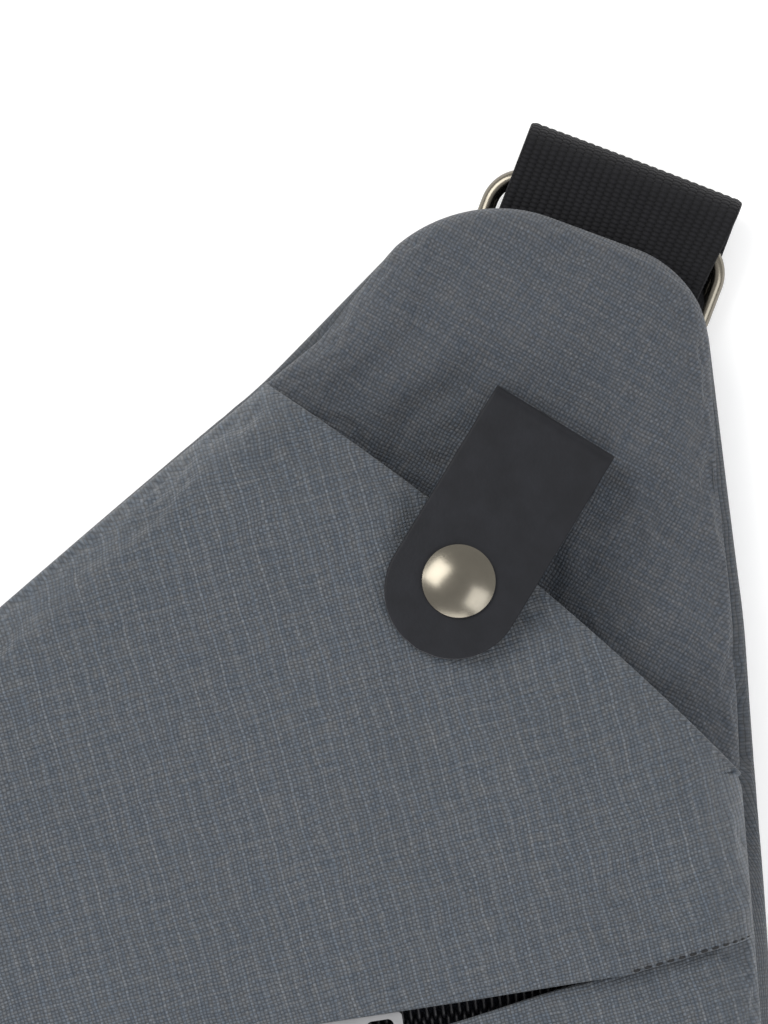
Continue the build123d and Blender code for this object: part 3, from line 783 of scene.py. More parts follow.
def cloth_of(plan, across):
    """Cloth coordinates of plan points, across and along its strong threads."""
    return np.stack([plan @ across, plan @ np.array((-across[1], across[0]))], axis=-1)


def rolled(plan, radius):
    """Quarter round from 0 at the seam to 1 at the radius."""
    t = np.clip(seam_distance(plan) / radius, 0.0, 1.0)
    return np.sqrt(1.0 - (1.0 - t) ** 2)


def seam_distance(plan):
    """Distance from the seam, taken square to it where it is near."""
    found, gap = nearest_on(plan, SEAM[::2])
    heading = (np.roll(SEAM, -2, axis=0) - np.roll(SEAM, 2, axis=0))[::2]
    heading /= np.linalg.norm(heading, axis=1, keepdims=True)
    apart = plan - SEAM[::2][found]
    square = np.abs(apart[..., 0] * heading[found][..., 1] - apart[..., 1] * heading[found][..., 0])
    return np.where(gap < 2.5, square, gap)


def lobe_height(plan):
    """The padded lobe: level, rolled over at its seam and sinking into the pocket."""
    depth = into_pocket(plan)
    level = LOBE_TOP - (LOBE_TOP - POCKET_FLOOR - 0.4) * smooth(depth, -26.0, 10.0)
    level = level + 0.35 * waves(plan, 38.0, 3)
    level = level + crease(plan, (-8.0, 22.0), (10.0, 36.0), 4.0, -1.3)
    level = level + crease(plan, (2.0, 16.0), (20.0, 28.0), 3.5, -0.9)
    level = level + crease(plan, (46.0, 24.0), (56.0, -12.0), 4.0, -0.9)
    level = level + crease(plan, (10.0, 44.0), (48.0, 38.0), 5.0, 0.7)
    return SEAM_LOW + (level - SEAM_LOW) * rolled(plan, 9.0)


FRONT_CREASES = [
    ((-6.0, -42.0), (36.0, -70.0), 4.5, 0.8),
    ((-8.0, -48.0), (30.0, -76.0), 3.5, -0.8),
    ((28.0, -70.0), (52.0, -82.0), 3.0, -0.7),
    ((2.0, -22.0), (10.0, -52.0), 6.0, -0.5),
    ((-60.0, -40.0), (-20.0, -60.0), 7.0, 0.6),
    ((40.0, -34.0), (58.0, -62.0), 5.0, 0.5),
    ((-86.0, -60.0), (-60.0, -88.0), 6.0, -0.6),
]


def panel_height(plan):
    """Outer face of the upper front panel."""
    level = MOUTH_TOP + (PANEL_TOP - MOUTH_TOP) * smooth(into_pocket(plan), -4.0, 19.0)
    level = level + 0.45 * waves(plan, 55.0, 11) * smooth(into_pocket(plan), 4.0, 20.0)
    for start, end, width, depth in FRONT_CREASES:
        level = level + crease(plan, start, end, width, depth)
    seam = seam_height_near(plan)
    return seam + (level - seam) * rolled(plan, 9.0)


def lower_height(plan):
    """Outer face of the lower front panel, under the flap."""
    level = LOWER_TOP + 0.4 * waves(plan, 60.0, 23)
    level = level - 0.5 * smooth((plan - FRONT_ZIP_RIGHT) @ ZIP_UP, -14.0, -1.0)
    level = level + crease(plan, (-70.0, -150.0), (-20.0, -168.0), 8.0, 0.9)
    level = level + crease(plan, (30.0, -120.0), (52.0, -156.0), 7.0, -0.8)
    return SEAM_HIGH + (level - SEAM_HIGH) * rolled(plan, 10.0)


def turned_edge(plan, height, surface, radius, tuck, mouth=None):
    """Extra rows that turn a sheet's last row over and back under it. Where mouth is 0 the edge is sewn into
    the seam instead, and only dips inwards."""
    edge = plan[:, -1]
    inward = plan[:, -2] - edge
    inward /= np.linalg.norm(inward, axis=-1, keepdims=True)
    if mouth is None:
        mouth = np.ones(len(edge))
    else:
        inward = inward * (1.0 - mouth[:, None]) + INTO_POCKET * mouth[:, None]
        inward /= np.linalg.norm(inward, axis=-1, keepdims=True)
    drop = height[:, -1] - surface(edge)
    plans, heights, lengths = [plan], [height], []
    for turn in np.linspace(0.0, math.pi, 9)[1:]:
        out = -radius * math.sin(turn) * mouth + radius * (1 - math.cos(turn / 2)) * (1 - mouth)
        down = radius * (1 - math.cos(turn)) * mouth + radius * math.sin(turn / 2) * (1 - mouth)
        plans.append((edge + inward * out[:, None])[:, None])
        heights.append((height[:, -1] - down)[:, None])
        lengths.append(radius * turn)
    for reach in np.linspace(0.0, tuck, 6)[1:]:
        back = reach * mouth + (0.3 * reach / tuck + radius) * (1 - mouth)
        row = edge + inward * back[:, None]
        under = surface(row) + drop - 2 * radius
        flat = height[:, -1] - radius
        plans.append(row[:, None])
        heights.append((under * mouth + flat * (1 - mouth))[:, None])
        lengths.append(radius * math.pi + reach)
    return np.concatenate(plans, axis=1), np.concatenate(heights, axis=1), lengths


def turned_cloth(plan, across, lengths):
    """Cloth coordinates of a sheet and the rows turned under at its last row."""
    cloth = cloth_of(plan, across)
    edge = cloth[:, -1]
    outward = edge - cloth[:, -2]
    outward /= np.linalg.norm(outward, axis=-1, keepdims=True)
    extra = [edge + outward * length for length in lengths]
    return np.concatenate([cloth] + [row[:, None] for row in extra], axis=1)


def sewn_edges(shape):
    """Grid points along all four edges of a sheet."""
    held = np.zeros(shape[:2], bool)
    held[[0, -1], :] = True
    held[:, [0, -1]] = True
    return held


def lobe_grid(n, m):
    """Plan grid of the lobe, reaching into the pocket under the mouth."""
    left_shoulder = nearest_index((4.0, 49.0))
    right_shoulder = nearest_index((56.0, 40.0))
    left_end = nearest_index(MOUTH_LEFT - SIDE_DOWN * -9.0)
    right_end = nearest_index(MOUTH_RIGHT + np.array((0.0, -9.0)))
    low = resample(np.stack([SEAM[left_end], MOUTH_MIDDLE + INTO_POCKET * 9.0, SEAM[right_end]]), n)
    left = seam_part(left_end, left_shoulder, m)
    high = seam_part(left_shoulder, right_shoulder, n)
    right = seam_part(right_shoulder, right_end, m)[::-1]
    return tighten(coons(low, high, left, right))


def lobe_cover():
    """Padded cover of the lobe, settled as cloth between its seams."""
    plan = lobe_grid(161, 145)
    points = put(plan, lobe_height(plan))
    from_fold = (plan - TAB_FOLD) @ TAB_HEADING
    off_fold = np.abs((plan - TAB_FOLD) @ np.array((-TAB_HEADING[1], TAB_HEADING[0])))
    under_tab = (from_fold > -1.0) & (off_fold < TAB_WIDTH / 2)
    held = sewn_edges(points.shape) | (into_pocket(plan) > -1.0) | under_tab
    points = settled(points, 4, held, 1.2, 0.012, 1.6)
    cover = sheet_object("lobe_cover_cloth", points, cloth_of(plan, LOBE_CLOTH), LOBE_SHADED_CLOTH)
    finish_piece(cover, "bag", "outer_fabric", "lobe_cover")


def lobe_foam():
    """Foam under the lobe's cover: a closed pad that follows it."""
    plan = lobe_grid(61, 55)
    centre = plan.reshape(-1, 2).mean(axis=0)
    plan = centre + (plan - centre) * 0.94
    top = np.minimum(lobe_height(plan) - 1.6, LOBE_TOP - 1.6)
    bottom = np.full(top.shape, BACK_TOP + 0.6)
    low = put(plan, bottom)[:, ::-1]
    points = np.concatenate([put(plan, top), low], axis=1)
    foam = loft_object("lobe_foam_pad", points, FOAM)
    finish_piece(foam, "bag", "foam", "lobe_foam")


def loft_object(name, points, *materials, cloth=None, ends=True):
    """A closed tube of rings along the first axis, with its ends filled."""
    n, m = points.shape[:2]
    faces, flat = grid_faces(n, m, ring_m=True)
    faces = faces.tolist()
    corners = None if cloth is None else cloth.reshape(-1, 2)[flat.ravel()]
    if ends:
        for row, order in ((0, 1), (n - 1, -1)):
            half = m // 2
            for k in range(half - 1):
                one = [row * m + k, row * m + k + 1, row * m + m - 2 - k, row * m + m - 1 - k][::order]
                faces.append(one)
                if corners is not None:
                    own = np.repeat(cloth[row, k][None], 4, axis=0)
                    corners = np.concatenate([corners, own])
    obj = mesh_object(name, points, faces, *materials, cloth=corners)
    bpy.context.view_layer.update()
    face_outwards(obj)
    return obj


def face_outwards(obj, fill_holes=False):
    """Turn a mesh's faces outwards, after closing its open borders if asked."""
    mesh = bmesh.new()
    mesh.from_mesh(obj.data)
    if fill_holes:
        bmesh.ops.holes_fill(mesh, edges=[edge for edge in mesh.edges if edge.is_boundary], sides=0)
    bmesh.ops.recalc_face_normals(mesh, faces=mesh.faces)
    mesh.to_mesh(obj.data)
    mesh.free()
    shade_smooth(obj.data)


def closed_tubes(name, points, rings, sides, material):
    """One mesh of many small closed tubes, all with the same number of rings and sides."""
    ring, _ = grid_faces(rings, sides, ring_m=True)
    faces = []
    for first in range(0, len(points), rings * sides):
        faces += (ring + first).tolist()
        faces.append([first + k for k in range(sides)][::-1])
        faces.append([first + (rings - 1) * sides + k for k in range(sides)])
    obj = mesh_object(name, points, np.array(faces, dtype=object), material)
    face_outwards(obj)
    return obj


def flap_line(count, shift=0.0):
    """The upper panel's lower edge, from the left side wall to the right one."""
    left = SEAM[AT_FLAP_LEFT]
    right = SEAM[AT_FLAP_RIGHT]
    bend = FRONT_ZIP_LEFT + ZIP_ALONG * 30.0
    turn = FLAP_EDGE_END - np.array((2.5, 0.8))
    line = resample(np.stack([left, bend, FRONT_ZIP_RIGHT, turn, right]), count)
    run = (line - FRONT_ZIP_RIGHT) @ ZIP_ALONG
    open_part = smooth(run, -FRONT_ZIP_LENGTH, -90.0) * smooth(-run, 0.0, 40.0)
    return line + ZIP_UP * (shift - 0.3 * open_part)[:, None]


def front_panel_upper():
    """The slanted panel between the pocket mouth and the front zip, with both its free edges turned under."""
    n, m = 241, 141
    corner = nearest_index(PATCH_CORNER)
    low = flap_line(n, 0.7)
    mouth = mouth_line(n, 0.9)
    slope = seam_part(corner, AT_MOUTH_LEFT, n)
    high = resample(np.concatenate([slope[:-1], mouth]), n)
    left = between(low[0], seam_part(AT_FLAP_LEFT, corner, m), high[0], m)
    right = between(low[-1], seam_part(AT_MOUTH_RIGHT, AT_FLAP_RIGHT, m)[::-1], high[-1], m)
    plan = tighten(coons(low, high, left, right))
    height = panel_height(plan)
    points = put(plan, height)
    edge_gap = np.linalg.norm(plan[:, -1, None, :] - mouth[None], axis=-1).min(axis=1)
    on_mouth = smooth(-edge_gap, -2.5, -0.4)
    held = sewn_edges(points.shape)
    held |= np.linalg.norm(plan - snap_place(), axis=-1) < 9.0
    points = settled(points, 4, held, 0.8, 0.010, 1.3)
    low_plan, low_height, low_run = turned_edge(plan[:, ::-1], height[:, ::-1], panel_height, 0.7, 6.0)
    top_plan, top_height, top_run = turned_edge(plan, height, panel_height, 0.9, 9.0, on_mouth)
    before = put(low_plan[:, m:], low_height[:, m:])[:, ::-1]
    after = put(top_plan[:, m:], top_height[:, m:])
    whole = np.concatenate([before, points, after], axis=1)
    cloth_low = turned_cloth(plan[:, ::-1], FRONT_CLOTH, low_run)[:, m:][:, ::-1]
    cloth = np.concatenate([cloth_low, turned_cloth(plan, FRONT_CLOTH, top_run)], axis=1)
    sew_flap(points)
    panel = sheet_object("front_panel_upper_cloth", whole, cloth, OUTER)
    finish_piece(panel, "bag", "outer_fabric", "front_panel_upper", "mouth_hem")


def sew_flap(points):
    """Black topstitching that holds the flap's edge down from the zip's end to the side wall."""
    line = points[:, 0] + np.append(ZIP_UP * -0.3, 0.08) * MM
    start = put(FRONT_ZIP_RIGHT + ZIP_ALONG * 0.5, 0.0)[0]
    line = line[line[:, 0] > start][:-3]
    stitching("flap_topstitch", [(line, (0.0, 0.0, 1.0))], "binding_tape")


def snap_place():
    """Plan position of the snap, from where the frame holds its stud."""
    low, high = (np.array(corner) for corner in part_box("snap_stud"))
    return (low[:2] + high[:2]) / 2 / MM + ORIGIN


def lower_top_line(count):
    """Upper edge of the lower panel: below the zip, and up under the flap past the zip's ends."""
    line = flap_line(count)
    run = (FRONT_ZIP_RIGHT - line) @ ZIP_ALONG
    left_run = FRONT_ZIP_LENGTH - run
    drop = 3.2 * smooth(np.minimum(run, left_run), -6.0, 4.0)
    drop = drop + 5.0 * smooth(run, 0.0, 46.0) * smooth(left_run, -3.0, 7.0)
    return line + ZIP_UP * (3.0 - drop)[:, None]


def front_panel_lower():
    """The large panel below the front zip, its top edge turned under below the flap."""
    n, m = 201, 141
    bottom_right = nearest_index((62.0, -158.0))
    bottom_left = nearest_index((-90.0, -182.0))
    high = lower_top_line(n)
    low = seam_part(bottom_right, bottom_left, n)[::-1]
    right = between(low[-1], seam_part(nearest_index(high[-1]), bottom_right, m)[::-1], high[-1], m)
    left = between(low[0], seam_part(bottom_left, nearest_index(high[0]), m), high[0], m)
    plan = tighten(coons(low, high, left, right))
    height = lower_height(plan)
    points = settled(put(plan, height), 4, sewn_edges(plan.shape), 0.9, 0.010, 1.5)
    top_plan, top_height, top_run = turned_edge(plan, height, lower_height, 0.6, 4.0)
    whole = np.concatenate([points, put(top_plan[:, m:], top_height[:, m:])], axis=1)
    cloth = turned_cloth(plan, FRONT_CLOTH, top_run)
    panel = sheet_object("front_panel_lower_cloth", whole, cloth, OUTER)
    finish_piece(panel, "bag", "outer_fabric", "front_panel_lower")


def index_gap(start):
    """How many outline points lie between each one and a given one, the short way round."""
    ahead = (np.arange(len(OUTLINE)) - start) % len(OUTLINE)
    return np.minimum(ahead, len(OUTLINE) - ahead)


def side_wall():
    """Bulging wall round the bag, tucked under the panels' seams slotted on the left for the main zip."""
    index = np.arange(len(OUTLINE))
    heights = seam_height(index).astype(float)
    kernel = np.hanning(15)
    kernel /= kernel.sum()
    wrapped = np.concatenate([heights[-7:], heights, heights[:7]])
    past_mouth = np.minimum(index_gap(AT_MOUTH_LEFT), index_gap(AT_MOUTH_RIGHT)) * SPACING
    top = np.convolve(wrapped, kernel, mode="valid") + 0.3 + 2.1 * smooth(past_mouth, 10.0, 20.0)
    slot_top = np.minimum(MAIN_ZIP_HEIGHT + MAIN_ZIP_SLOT / 2, top - 1.2)
    slot_low = MAIN_ZIP_HEIGHT - MAIN_ZIP_SLOT / 2
    above, beside = 8, 7             # rows of faces above the zip's slot and beside it
    levels = [top]
    levels += [top + (slot_top - top) * t for t in np.linspace(0.0, 1.0, above + 1)[1:]]
    levels += [slot_top + (slot_low - slot_top) * t for t in np.linspace(0.0, 1.0, beside + 1)[1:]]
    levels += [np.full(len(top), level) for level in (BACK_TOP, BOUND_EDGE)]
    level = np.stack(levels, axis=1)
    share = (top[:, None] - level) / (top[:, None] - BOUND_EDGE)
    inset = (SEAM_IN[:, None] + 1.7) * (1.0 - smooth(share, 0.0, 0.30)) + 0.6 * smooth(share, 0.72, 1.0)
    dip = 0.25 * (1 + np.sin(index / 41.0)[:, None])
    inset = inset + dip * smooth(share, 0.1, 0.5) * smooth(-share, -0.9, -0.5)
    plan = OUTLINE[:, None, :] + INWARD[:, None, :] * inset[..., None]
    run = index * SPACING
    cloth = np.stack([np.repeat(run[:, None], level.shape[1], axis=1), level], axis=-1)
    points = put(plan, level)
    faces, flat = grid_faces(*points.shape[:2], ring_n=True)
    cloth = np.concatenate([cloth, cloth[:1] + np.array((len(OUTLINE) * SPACING, 0.0))])
    down = (OUTLINE - SIDE_TOP) @ SIDE_DOWN
    on_side = np.abs((OUTLINE - SIDE_TOP) @ SIDE_OUT) < 6.0
    in_slot = on_side & (down > MAIN_ZIP_START) & (down < MAIN_ZIP_START + MAIN_ZIP_LENGTH)
    columns = faces[:, 0] // level.shape[1]
    rows = faces[:, 0] % level.shape[1]
    keep = ~(in_slot[columns] & (rows >= above) & (rows < above + beside))
    faces, flat = faces[keep][:, ::-1], flat[keep][:, ::-1]
    wall = mesh_object("side_wall_cloth", points, faces, SIDE_CLOTH_AND_SHADE, cloth=cloth.reshape(-1, 2)[flat.ravel()])
    solid = wall.modifiers.new("thick", "SOLIDIFY")
    solid.thickness = 0.7 * MM
    solid.offset = -1.0
    apply_modifiers(wall)
    finish_piece(wall, "bag", "side_fabric", "gusset")


def body_disc(shrink, rings, count=350):
    """Plan grid of rings between a point in the middle and a line round the body."""
    line = resample(OUTLINE + INWARD * shrink, count, closed=True)
    centre = np.array((-8.0, -82.0))
    share = np.linspace(0.02, 1.0, rings)[:, None, None]
    return centre + (line[None] - centre) * share


def layer(name, node, slot_name, material, low, high, shrink, wave, start=None, seed=31):
    """A flat layer inside the bag, slightly uneven, cut off at the pocket mouth where start is given."""
    plan = body_disc(shrink, 40)
    if start is not None:
        short = np.minimum(into_pocket(plan) - start, 0.0)
        plan = plan - INTO_POCKET * short[..., None]
    top = high + wave * waves(plan, 34.0, seed)
    bottom = np.full(top.shape, low)
    points = np.concatenate([put(plan, bottom), put(plan, top)[::-1]], axis=0)
    faces, flat = grid_faces(*points.shape[:2], ring_m=True)
    cloth = cloth_of(np.concatenate([plan, plan[::-1]], axis=0), FRONT_CLOTH)
    cloth = np.concatenate([cloth, cloth[:, :1]], axis=1)
    obj = mesh_object(name, points, faces, material, cloth=cloth.reshape(-1, 2)[flat.ravel()])
    face_outwards(obj, fill_holes=True)
    finish_piece(obj, "bag", slot_name, node)


def edge_binding():
    """Woven tape folded round the edge of the back panel."""
    line = resample(OUTLINE, 700, closed=True)
    normal = resample(OUTLINE + INWARD, 700, closed=True) - line
    around = np.linspace(0.0, math.tau, 25)[:-1]
    squared = np.abs(np.cos(around)) ** 0.5 * np.sign(np.cos(around))
    across = -1.3 + 1.35 * squared
    tall = 1.35 * np.abs(np.sin(around)) ** 0.5 * np.sign(np.sin(around))
    run = np.arange(len(line)) * np.linalg.norm(line[1] - line[0])
    pucker = 1.0 + 0.06 * np.sin(run * math.tau / 3.1)
    plan = line[:, None] - normal[:, None] * across[None, :, None]
    height = BOUND_EDGE + tall[None] * pucker[:, None]
    points = put(plan, height)
    faces, flat = grid_faces(*points.shape[:2], ring_n=True, ring_m=True)
    wrap = np.linspace(0.0, 9.0, 25)
    cloth = np.stack(np.meshgrid(np.append(run, run[-1] + run[1]), wrap, indexing="ij"), axis=-1)
    binding = mesh_object("edge_binding_tape", points, faces, TAPE, cloth=cloth.reshape(-1, 2)[flat.ravel()])
    face_outwards(binding)
    finish_piece(binding, "bag", "binding_tape", "edge_binding")


def back_pad(node):
    """Padded mesh block: the plain solid remeshed, swelled as cloth and pressed flat where it rests."""
    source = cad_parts[node]
    low, high = (np.array(corner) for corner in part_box(node))
    pad = bpy.data.objects.new(node + "_cushion", source.data.copy())
    bpy.context.scene.collection.objects.link(pad)
    pad.data.materials.clear()
    pad.data.materials.append(SPACER)
    middle = (low + high) / 2
    points = np.empty(len(pad.data.vertices) * 3)
    pad.data.vertices.foreach_get("co", points)
    points = middle + (points.reshape(-1, 3) - middle) * np.array((0.975, 0.975, 0.72))
    pad.data.vertices.foreach_set("co", points.ravel())
    remesh = pad.modifiers.new("remesh", "REMESH")
    remesh.mode = "VOXEL"
    remesh.voxel_size = 0.003
    apply_modifiers(pad)
    start = np.empty(len(pad.data.vertices) * 3)
    pad.data.vertices.foreach_get("co", start)
    start = start.reshape(-1, 3)
    double = bpy.data.objects.new("settling", pad.data.copy())
    bpy.context.scene.collection.objects.link(double)
    shift = simulate(double, "", 4.0, 0.0, 20) - start
    size = np.linalg.norm(shift, axis=-1, keepdims=True)
    shift *= np.tanh(size / 0.0022) * 0.0022 / np.maximum(size, 1e-9)
    moved = start + shift
    moved[:, 2] = np.clip(moved[:, 2], 0.0001, BACK_LOW * MM)
    pad.data.vertices.foreach_set("co", moved.ravel())
    round_off = pad.modifiers.new("round", "SUBSURF")
    round_off.levels = 1
    round_off.render_levels = 1
    apply_modifiers(pad)
    pad.data.materials.clear()
    pad.data.materials.append(SPACER)
    finish_piece(pad, "bag", "spacer_mesh", node)


# --- Leather tab --------------------------------------------------------------------------------
def tab_profile():
    """Distance from the fold and height, from the sewn end to the tip."""
    heights = []
    for reach in np.linspace(TAB_BASE_LENGTH, 5.0, 30):
        place = TAB_FOLD + TAB_HEADING * reach
        heights.append((reach, float(lobe_height(place[None])[0]) + 0.2 + TAB_THICK / 2))
    floor = heights[-1][1]
    top = FLAP_AT_FOLD + TAB_THICK / 2
    for turn in np.linspace(0.0, math.pi / 2, 9)[1:]:
        heights.append((0.75 + 2.6 * (1 - math.sin(turn)), floor + 2.6 * (1 - math.cos(turn))))
    heights.append((0.65, (floor + top) / 2))
    for turn in np.linspace(0.0, math.pi / 2, 9):
        heights.append((0.65 + 1.5 * (1 - math.cos(turn)), top - 1.5 + 1.5 * math.sin(turn) + 0.28))
    for reach in np.linspace(3.4, TAB_LENGTH, 60):
        heights.append((reach * math.cos(TAB_TILT), top + reach * math.sin(TAB_TILT)))
    return resample(np.array(heights), 190)


def leather_tab():
    """One leather strip: sewn down on the lobe, folded over at the top and free at its rounded snap end."""
    profile = tab_profile()
    run = np.concatenate([[0.0], np.cumsum(np.linalg.norm(np.diff(profile, axis=0), axis=1))])
    left_over = run[-1] - run
    half = TAB_WIDTH / 2
    rounding = np.clip(left_over / half, 0.0004, 1.0)
    width = half * np.sqrt(1.0 - (1.0 - rounding) ** 2)
    share = np.linspace(-1.0, 1.0, 49)
    side = np.array((-TAB_HEADING[1], TAB_HEADING[0]))
    across = width[:, None] * share[None]
    plan = TAB_FOLD + TAB_HEADING * profile[:, 0][:, None, None] + side * across[..., None]
    lift = -0.25 * (across / half) ** 2 * smooth(run, run[-1] * 0.45, run[-1] * 0.6)[:, None]
    height = profile[:, 1][:, None] + lift
    cloth = np.stack([across, np.repeat(run[:, None], len(share), axis=1)], axis=-1)
    tab = sheet_object("leather_tab", put(plan, height), cloth, LEATHER, LEATHER_EDGE,
                       thick=TAB_THICK, up=False, rim=1, centred=True)
    face_outwards(tab)
    finish_piece(tab, "bag", "tab_leather", "tab_base", "tab_flap")
    tab.parent = None
    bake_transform(tab)


# --- Webbing ------------------------------------------------------------------------------------
def section_place(origin, heading):
    """Turns (distance, height) pairs into points of a vertical plane, in millimetres."""
    def place(pairs):
        pairs = np.asarray(pairs, float)
        plan = np.asarray(origin) + np.asarray(heading) * pairs[:, :1]
        return np.concatenate([plan, pairs[:, 1:]], axis=1)
    return place


def ribbed_section(count, width, thick, rib):
    """Across and height of a ribbed strip's outline, out along its top and back along its underside."""
    across = np.linspace(-1.0, 1.0, count) * width / 2
    edge = np.sqrt(np.clip(1.0 - np.clip((np.abs(across) - width / 2 + 0.8) / 0.8, 0.0, 1.0) ** 2, 0.08, 1.0))
    tall = (thick / 2 - rib) * edge + rib * np.abs(np.sin(across * math.pi / RIB_PITCH)) * edge
    return np.concatenate([across, across[::-1]]), np.concatenate([tall, -tall[::-1]])


def ribbon_cloth(across, run):
    """Cloth coordinates round a ribbon: the place across it and the run along it."""
    return np.stack([np.repeat(np.append(across, across[0])[None], len(run), axis=0),
                     np.repeat(run[:, None], len(across) + 1, axis=1)], axis=-1)


def ribbon(name, path, side, material, step=0.9, samples=161, rib=0.16, flare=0.0, sway=0.0):
    """Webbing that follows a path of points in millimetres; side points across it. A flare widens the side it
    points to over the first third of the path."""
    size = np.linalg.norm(np.diff(path, axis=0), axis=1).sum()
    path = resample(path, max(int(size / step), 8))
    side = np.array((*side, 0.0))
    tangent = np.gradient(path, axis=0)
    tangent /= np.linalg.norm(tangent, axis=1)[:, None]
    normal = np.cross(side[None], tangent)
    across, tall = ribbed_section(samples, WEBBING, WEBBING_THICK, rib)
    spread = 1.0 + flare * smooth(np.linspace(0.0, 1.0, len(path)), 0.05, 0.45)[:, None] * (across > 0)[None]
    run = np.linspace(0.0, size, len(path))
    wander = sway * np.sin(run / 7.0)[:, None] * (across / WEBBING * 2)[None] ** 2
    points = path[:, None] + side * (across[None] * spread)[..., None]
    points = points + normal[:, None] * (tall[None] + wander)[..., None]
    return loft_object(name, put(points[..., :2], points[..., 2]), material, cloth=ribbon_cloth(across, run))


def top_loop():
    """Black webbing loop out of the top seam, through the ring and back underneath."""
    front, back = 11.2, 1.2
    bend = (front - back) / 2
    fold = 71.2
    pairs = [(52.6, front), (58.0, front), (fold, front)]
    for turn in np.linspace(0.0, math.pi, 20)[1:]:
        pairs.append((fold + bend * math.sin(turn), back + bend + bend * math.cos(turn)))
    pairs += [(63.0, back), (57.0, 6.0), (54.2, 6.4)]
    path = section_place(on_bag(STRAP_ACROSS, 0.0), ALONG)(resample(np.array(pairs), 160))
    loop = ribbon("top_loop_webbing", path, ACROSS, WEB, step=0.5, samples=241, flare=0.075, sway=0.18)
    finish_piece(loop, "bag", "webbing", "top_loop")


def lower_tab():
    """Webbing tab out of the lower left corner, round its ring."""
    middle = LOWER_BAR[1]
    bend = 3.7
    pairs = [(-14.0, 6.6), (-4.0, 6.6), (2.5, 6.6), (7.5, middle + bend), (14.0, middle + bend)]
    for turn in np.linspace(0.0, math.pi, 16)[1:]:
        pairs.append((14.0 + bend * math.sin(turn), middle + bend * math.cos(turn)))
    pairs += [(-1.5, middle - bend), (-6.0, 4.6), (-14.0, 4.7)]
    path = section_place(on_bag(*LEFT_CORNER), -ACROSS)(resample(np.array(pairs), 130))
    tab = ribbon("lower_tab_webbing", path, ALONG, WEB, step=0.7, sway=0.1)
    finish_piece(tab, "bag", "webbing", "lower_tab")


def strap_end_pairs(drop):
    """Profile of a strap end round its ring's far bar: distance from the hinged bar and height above it."""
    tail = -drop + WEBBING_THICK / 2
    wrap = 1.5 + 0.2 + WEBBING_THICK / 2
    pairs = [(RING_DEPTH + STRAP_END_REACH, tail), (RING_DEPTH + 7.0, tail), (RING_DEPTH + 0.4, -wrap)]
    for turn in np.linspace(0.0, math.pi, 14)[1:]:
        pairs.append((RING_DEPTH - 0.8 - wrap * math.sin(turn), -wrap * math.cos(turn)))
    lap = tail + WEBBING_THICK + 0.05
    pairs += [(RING_DEPTH + 2.0, wrap - 0.3), (RING_DEPTH + 7.5, lap), (RING_DEPTH + 20.0, lap),
              (RING_DEPTH + STRAP_END_REACH + 9.0, lap)]
    return np.array(pairs)


def strap_end(name, node, origin, heading, height, drop, tilt):
    """Strap end wrapped round a ring and lapped over the strap, its profile tilted by the given angle."""
    pairs = resample(strap_end_pairs(drop), 150)
    turned = np.stack([pairs[:, 0] * math.cos(tilt) + pairs[:, 1] * math.sin(tilt),
                       height - pairs[:, 0] * math.sin(tilt) + pairs[:, 1] * math.cos(tilt)], axis=1)
    turned[:, 1] = np.maximum(turned[:, 1], WEBBING_THICK / 2 + 0.05)
    path = section_place(origin, heading)(turned)
    side = np.array((-heading[1], heading[0]))
    end = ribbon(name, path, side, WEB, step=0.8, samples=121)
    finish_piece(end, "bag", "webbing", node)
    end.parent = None
    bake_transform(end)


def fold_over(points, crease_point, normal, radius):
    """Fold everything past a crease line over itself, round a small radius."""
    plan, height = points[..., :2], points[..., 2]
    past = (plan - crease_point) @ normal
    angle = np.clip(past / radius, 0.0, math.pi)
    beyond = np.maximum(past - math.pi * radius, 0.0)
    reach = (radius - height) * np.sin(angle) - beyond
    reach = np.where(past > 0, reach, past)
    lifted = np.where(past > 0, radius - (radius - height) * np.cos(angle), height)
    plan = plan + normal * (reach - past)[..., None]
    return np.concatenate([plan, lifted[..., None]], axis=-1)


def shoulder_strap():
    """One long strap, worked out flat and then folded three times under and beside the bag."""
    start = TOP_BAR[0] - RING_DEPTH - STRAP_END_REACH - 0.6
    corner_across, corner_along = LEFT_CORNER
    runs = [start - STRAP_FIRST_FOLD, STRAP_ACROSS - STRAP_SECOND_FOLD, corner_along - STRAP_FIRST_FOLD]
    last = corner_across - LOWER_BAR[0] - RING_DEPTH - STRAP_END_REACH - 0.6 - STRAP_SECOND_FOLD
    creases = np.cumsum(runs)
    total = creases[-1] + last
    fine = np.concatenate([np.arange(place - 24.0, place + 24.0, 0.7) for place in creases])
    broad = np.arange(0.0, total, 2.6)
    clear = np.abs(broad[:, None] - creases[None]).min(axis=1) > 24.0
    run = np.unique(np.concatenate([[0.0], fine[fine < total - 0.5], broad[clear], [total]]))
    across, tall = ribbed_section(107, WEBBING, WEBBING_THICK, 0.14)
    flat = np.empty((len(run), len(across), 3))
    flat[..., 0] = STRAP_ACROSS + across[None]
    flat[..., 1] = (start - run)[:, None]
    flat[..., 2] = tall[None]
    radius = (STRAP_HIGH - STRAP_LOW) / 2
    for index in (2, 1, 0):
        normal = unit((1.0, -1.0) if index != 1 else (-1.0, -1.0))
        flat = fold_over(flat, np.array((STRAP_ACROSS, start - creases[index])), normal, radius)
    plan = ACROSS * flat[..., :1] + ALONG * flat[..., 1:2]
    points = put(plan, flat[..., 2] + STRAP_LOW + WEBBING_THICK / 2)
    strap = loft_object("shoulder_strap_webbing", points, WEB, cloth=ribbon_cloth(across, run))
    finish_piece(strap, "bag", "webbing", "shoulder_strap")


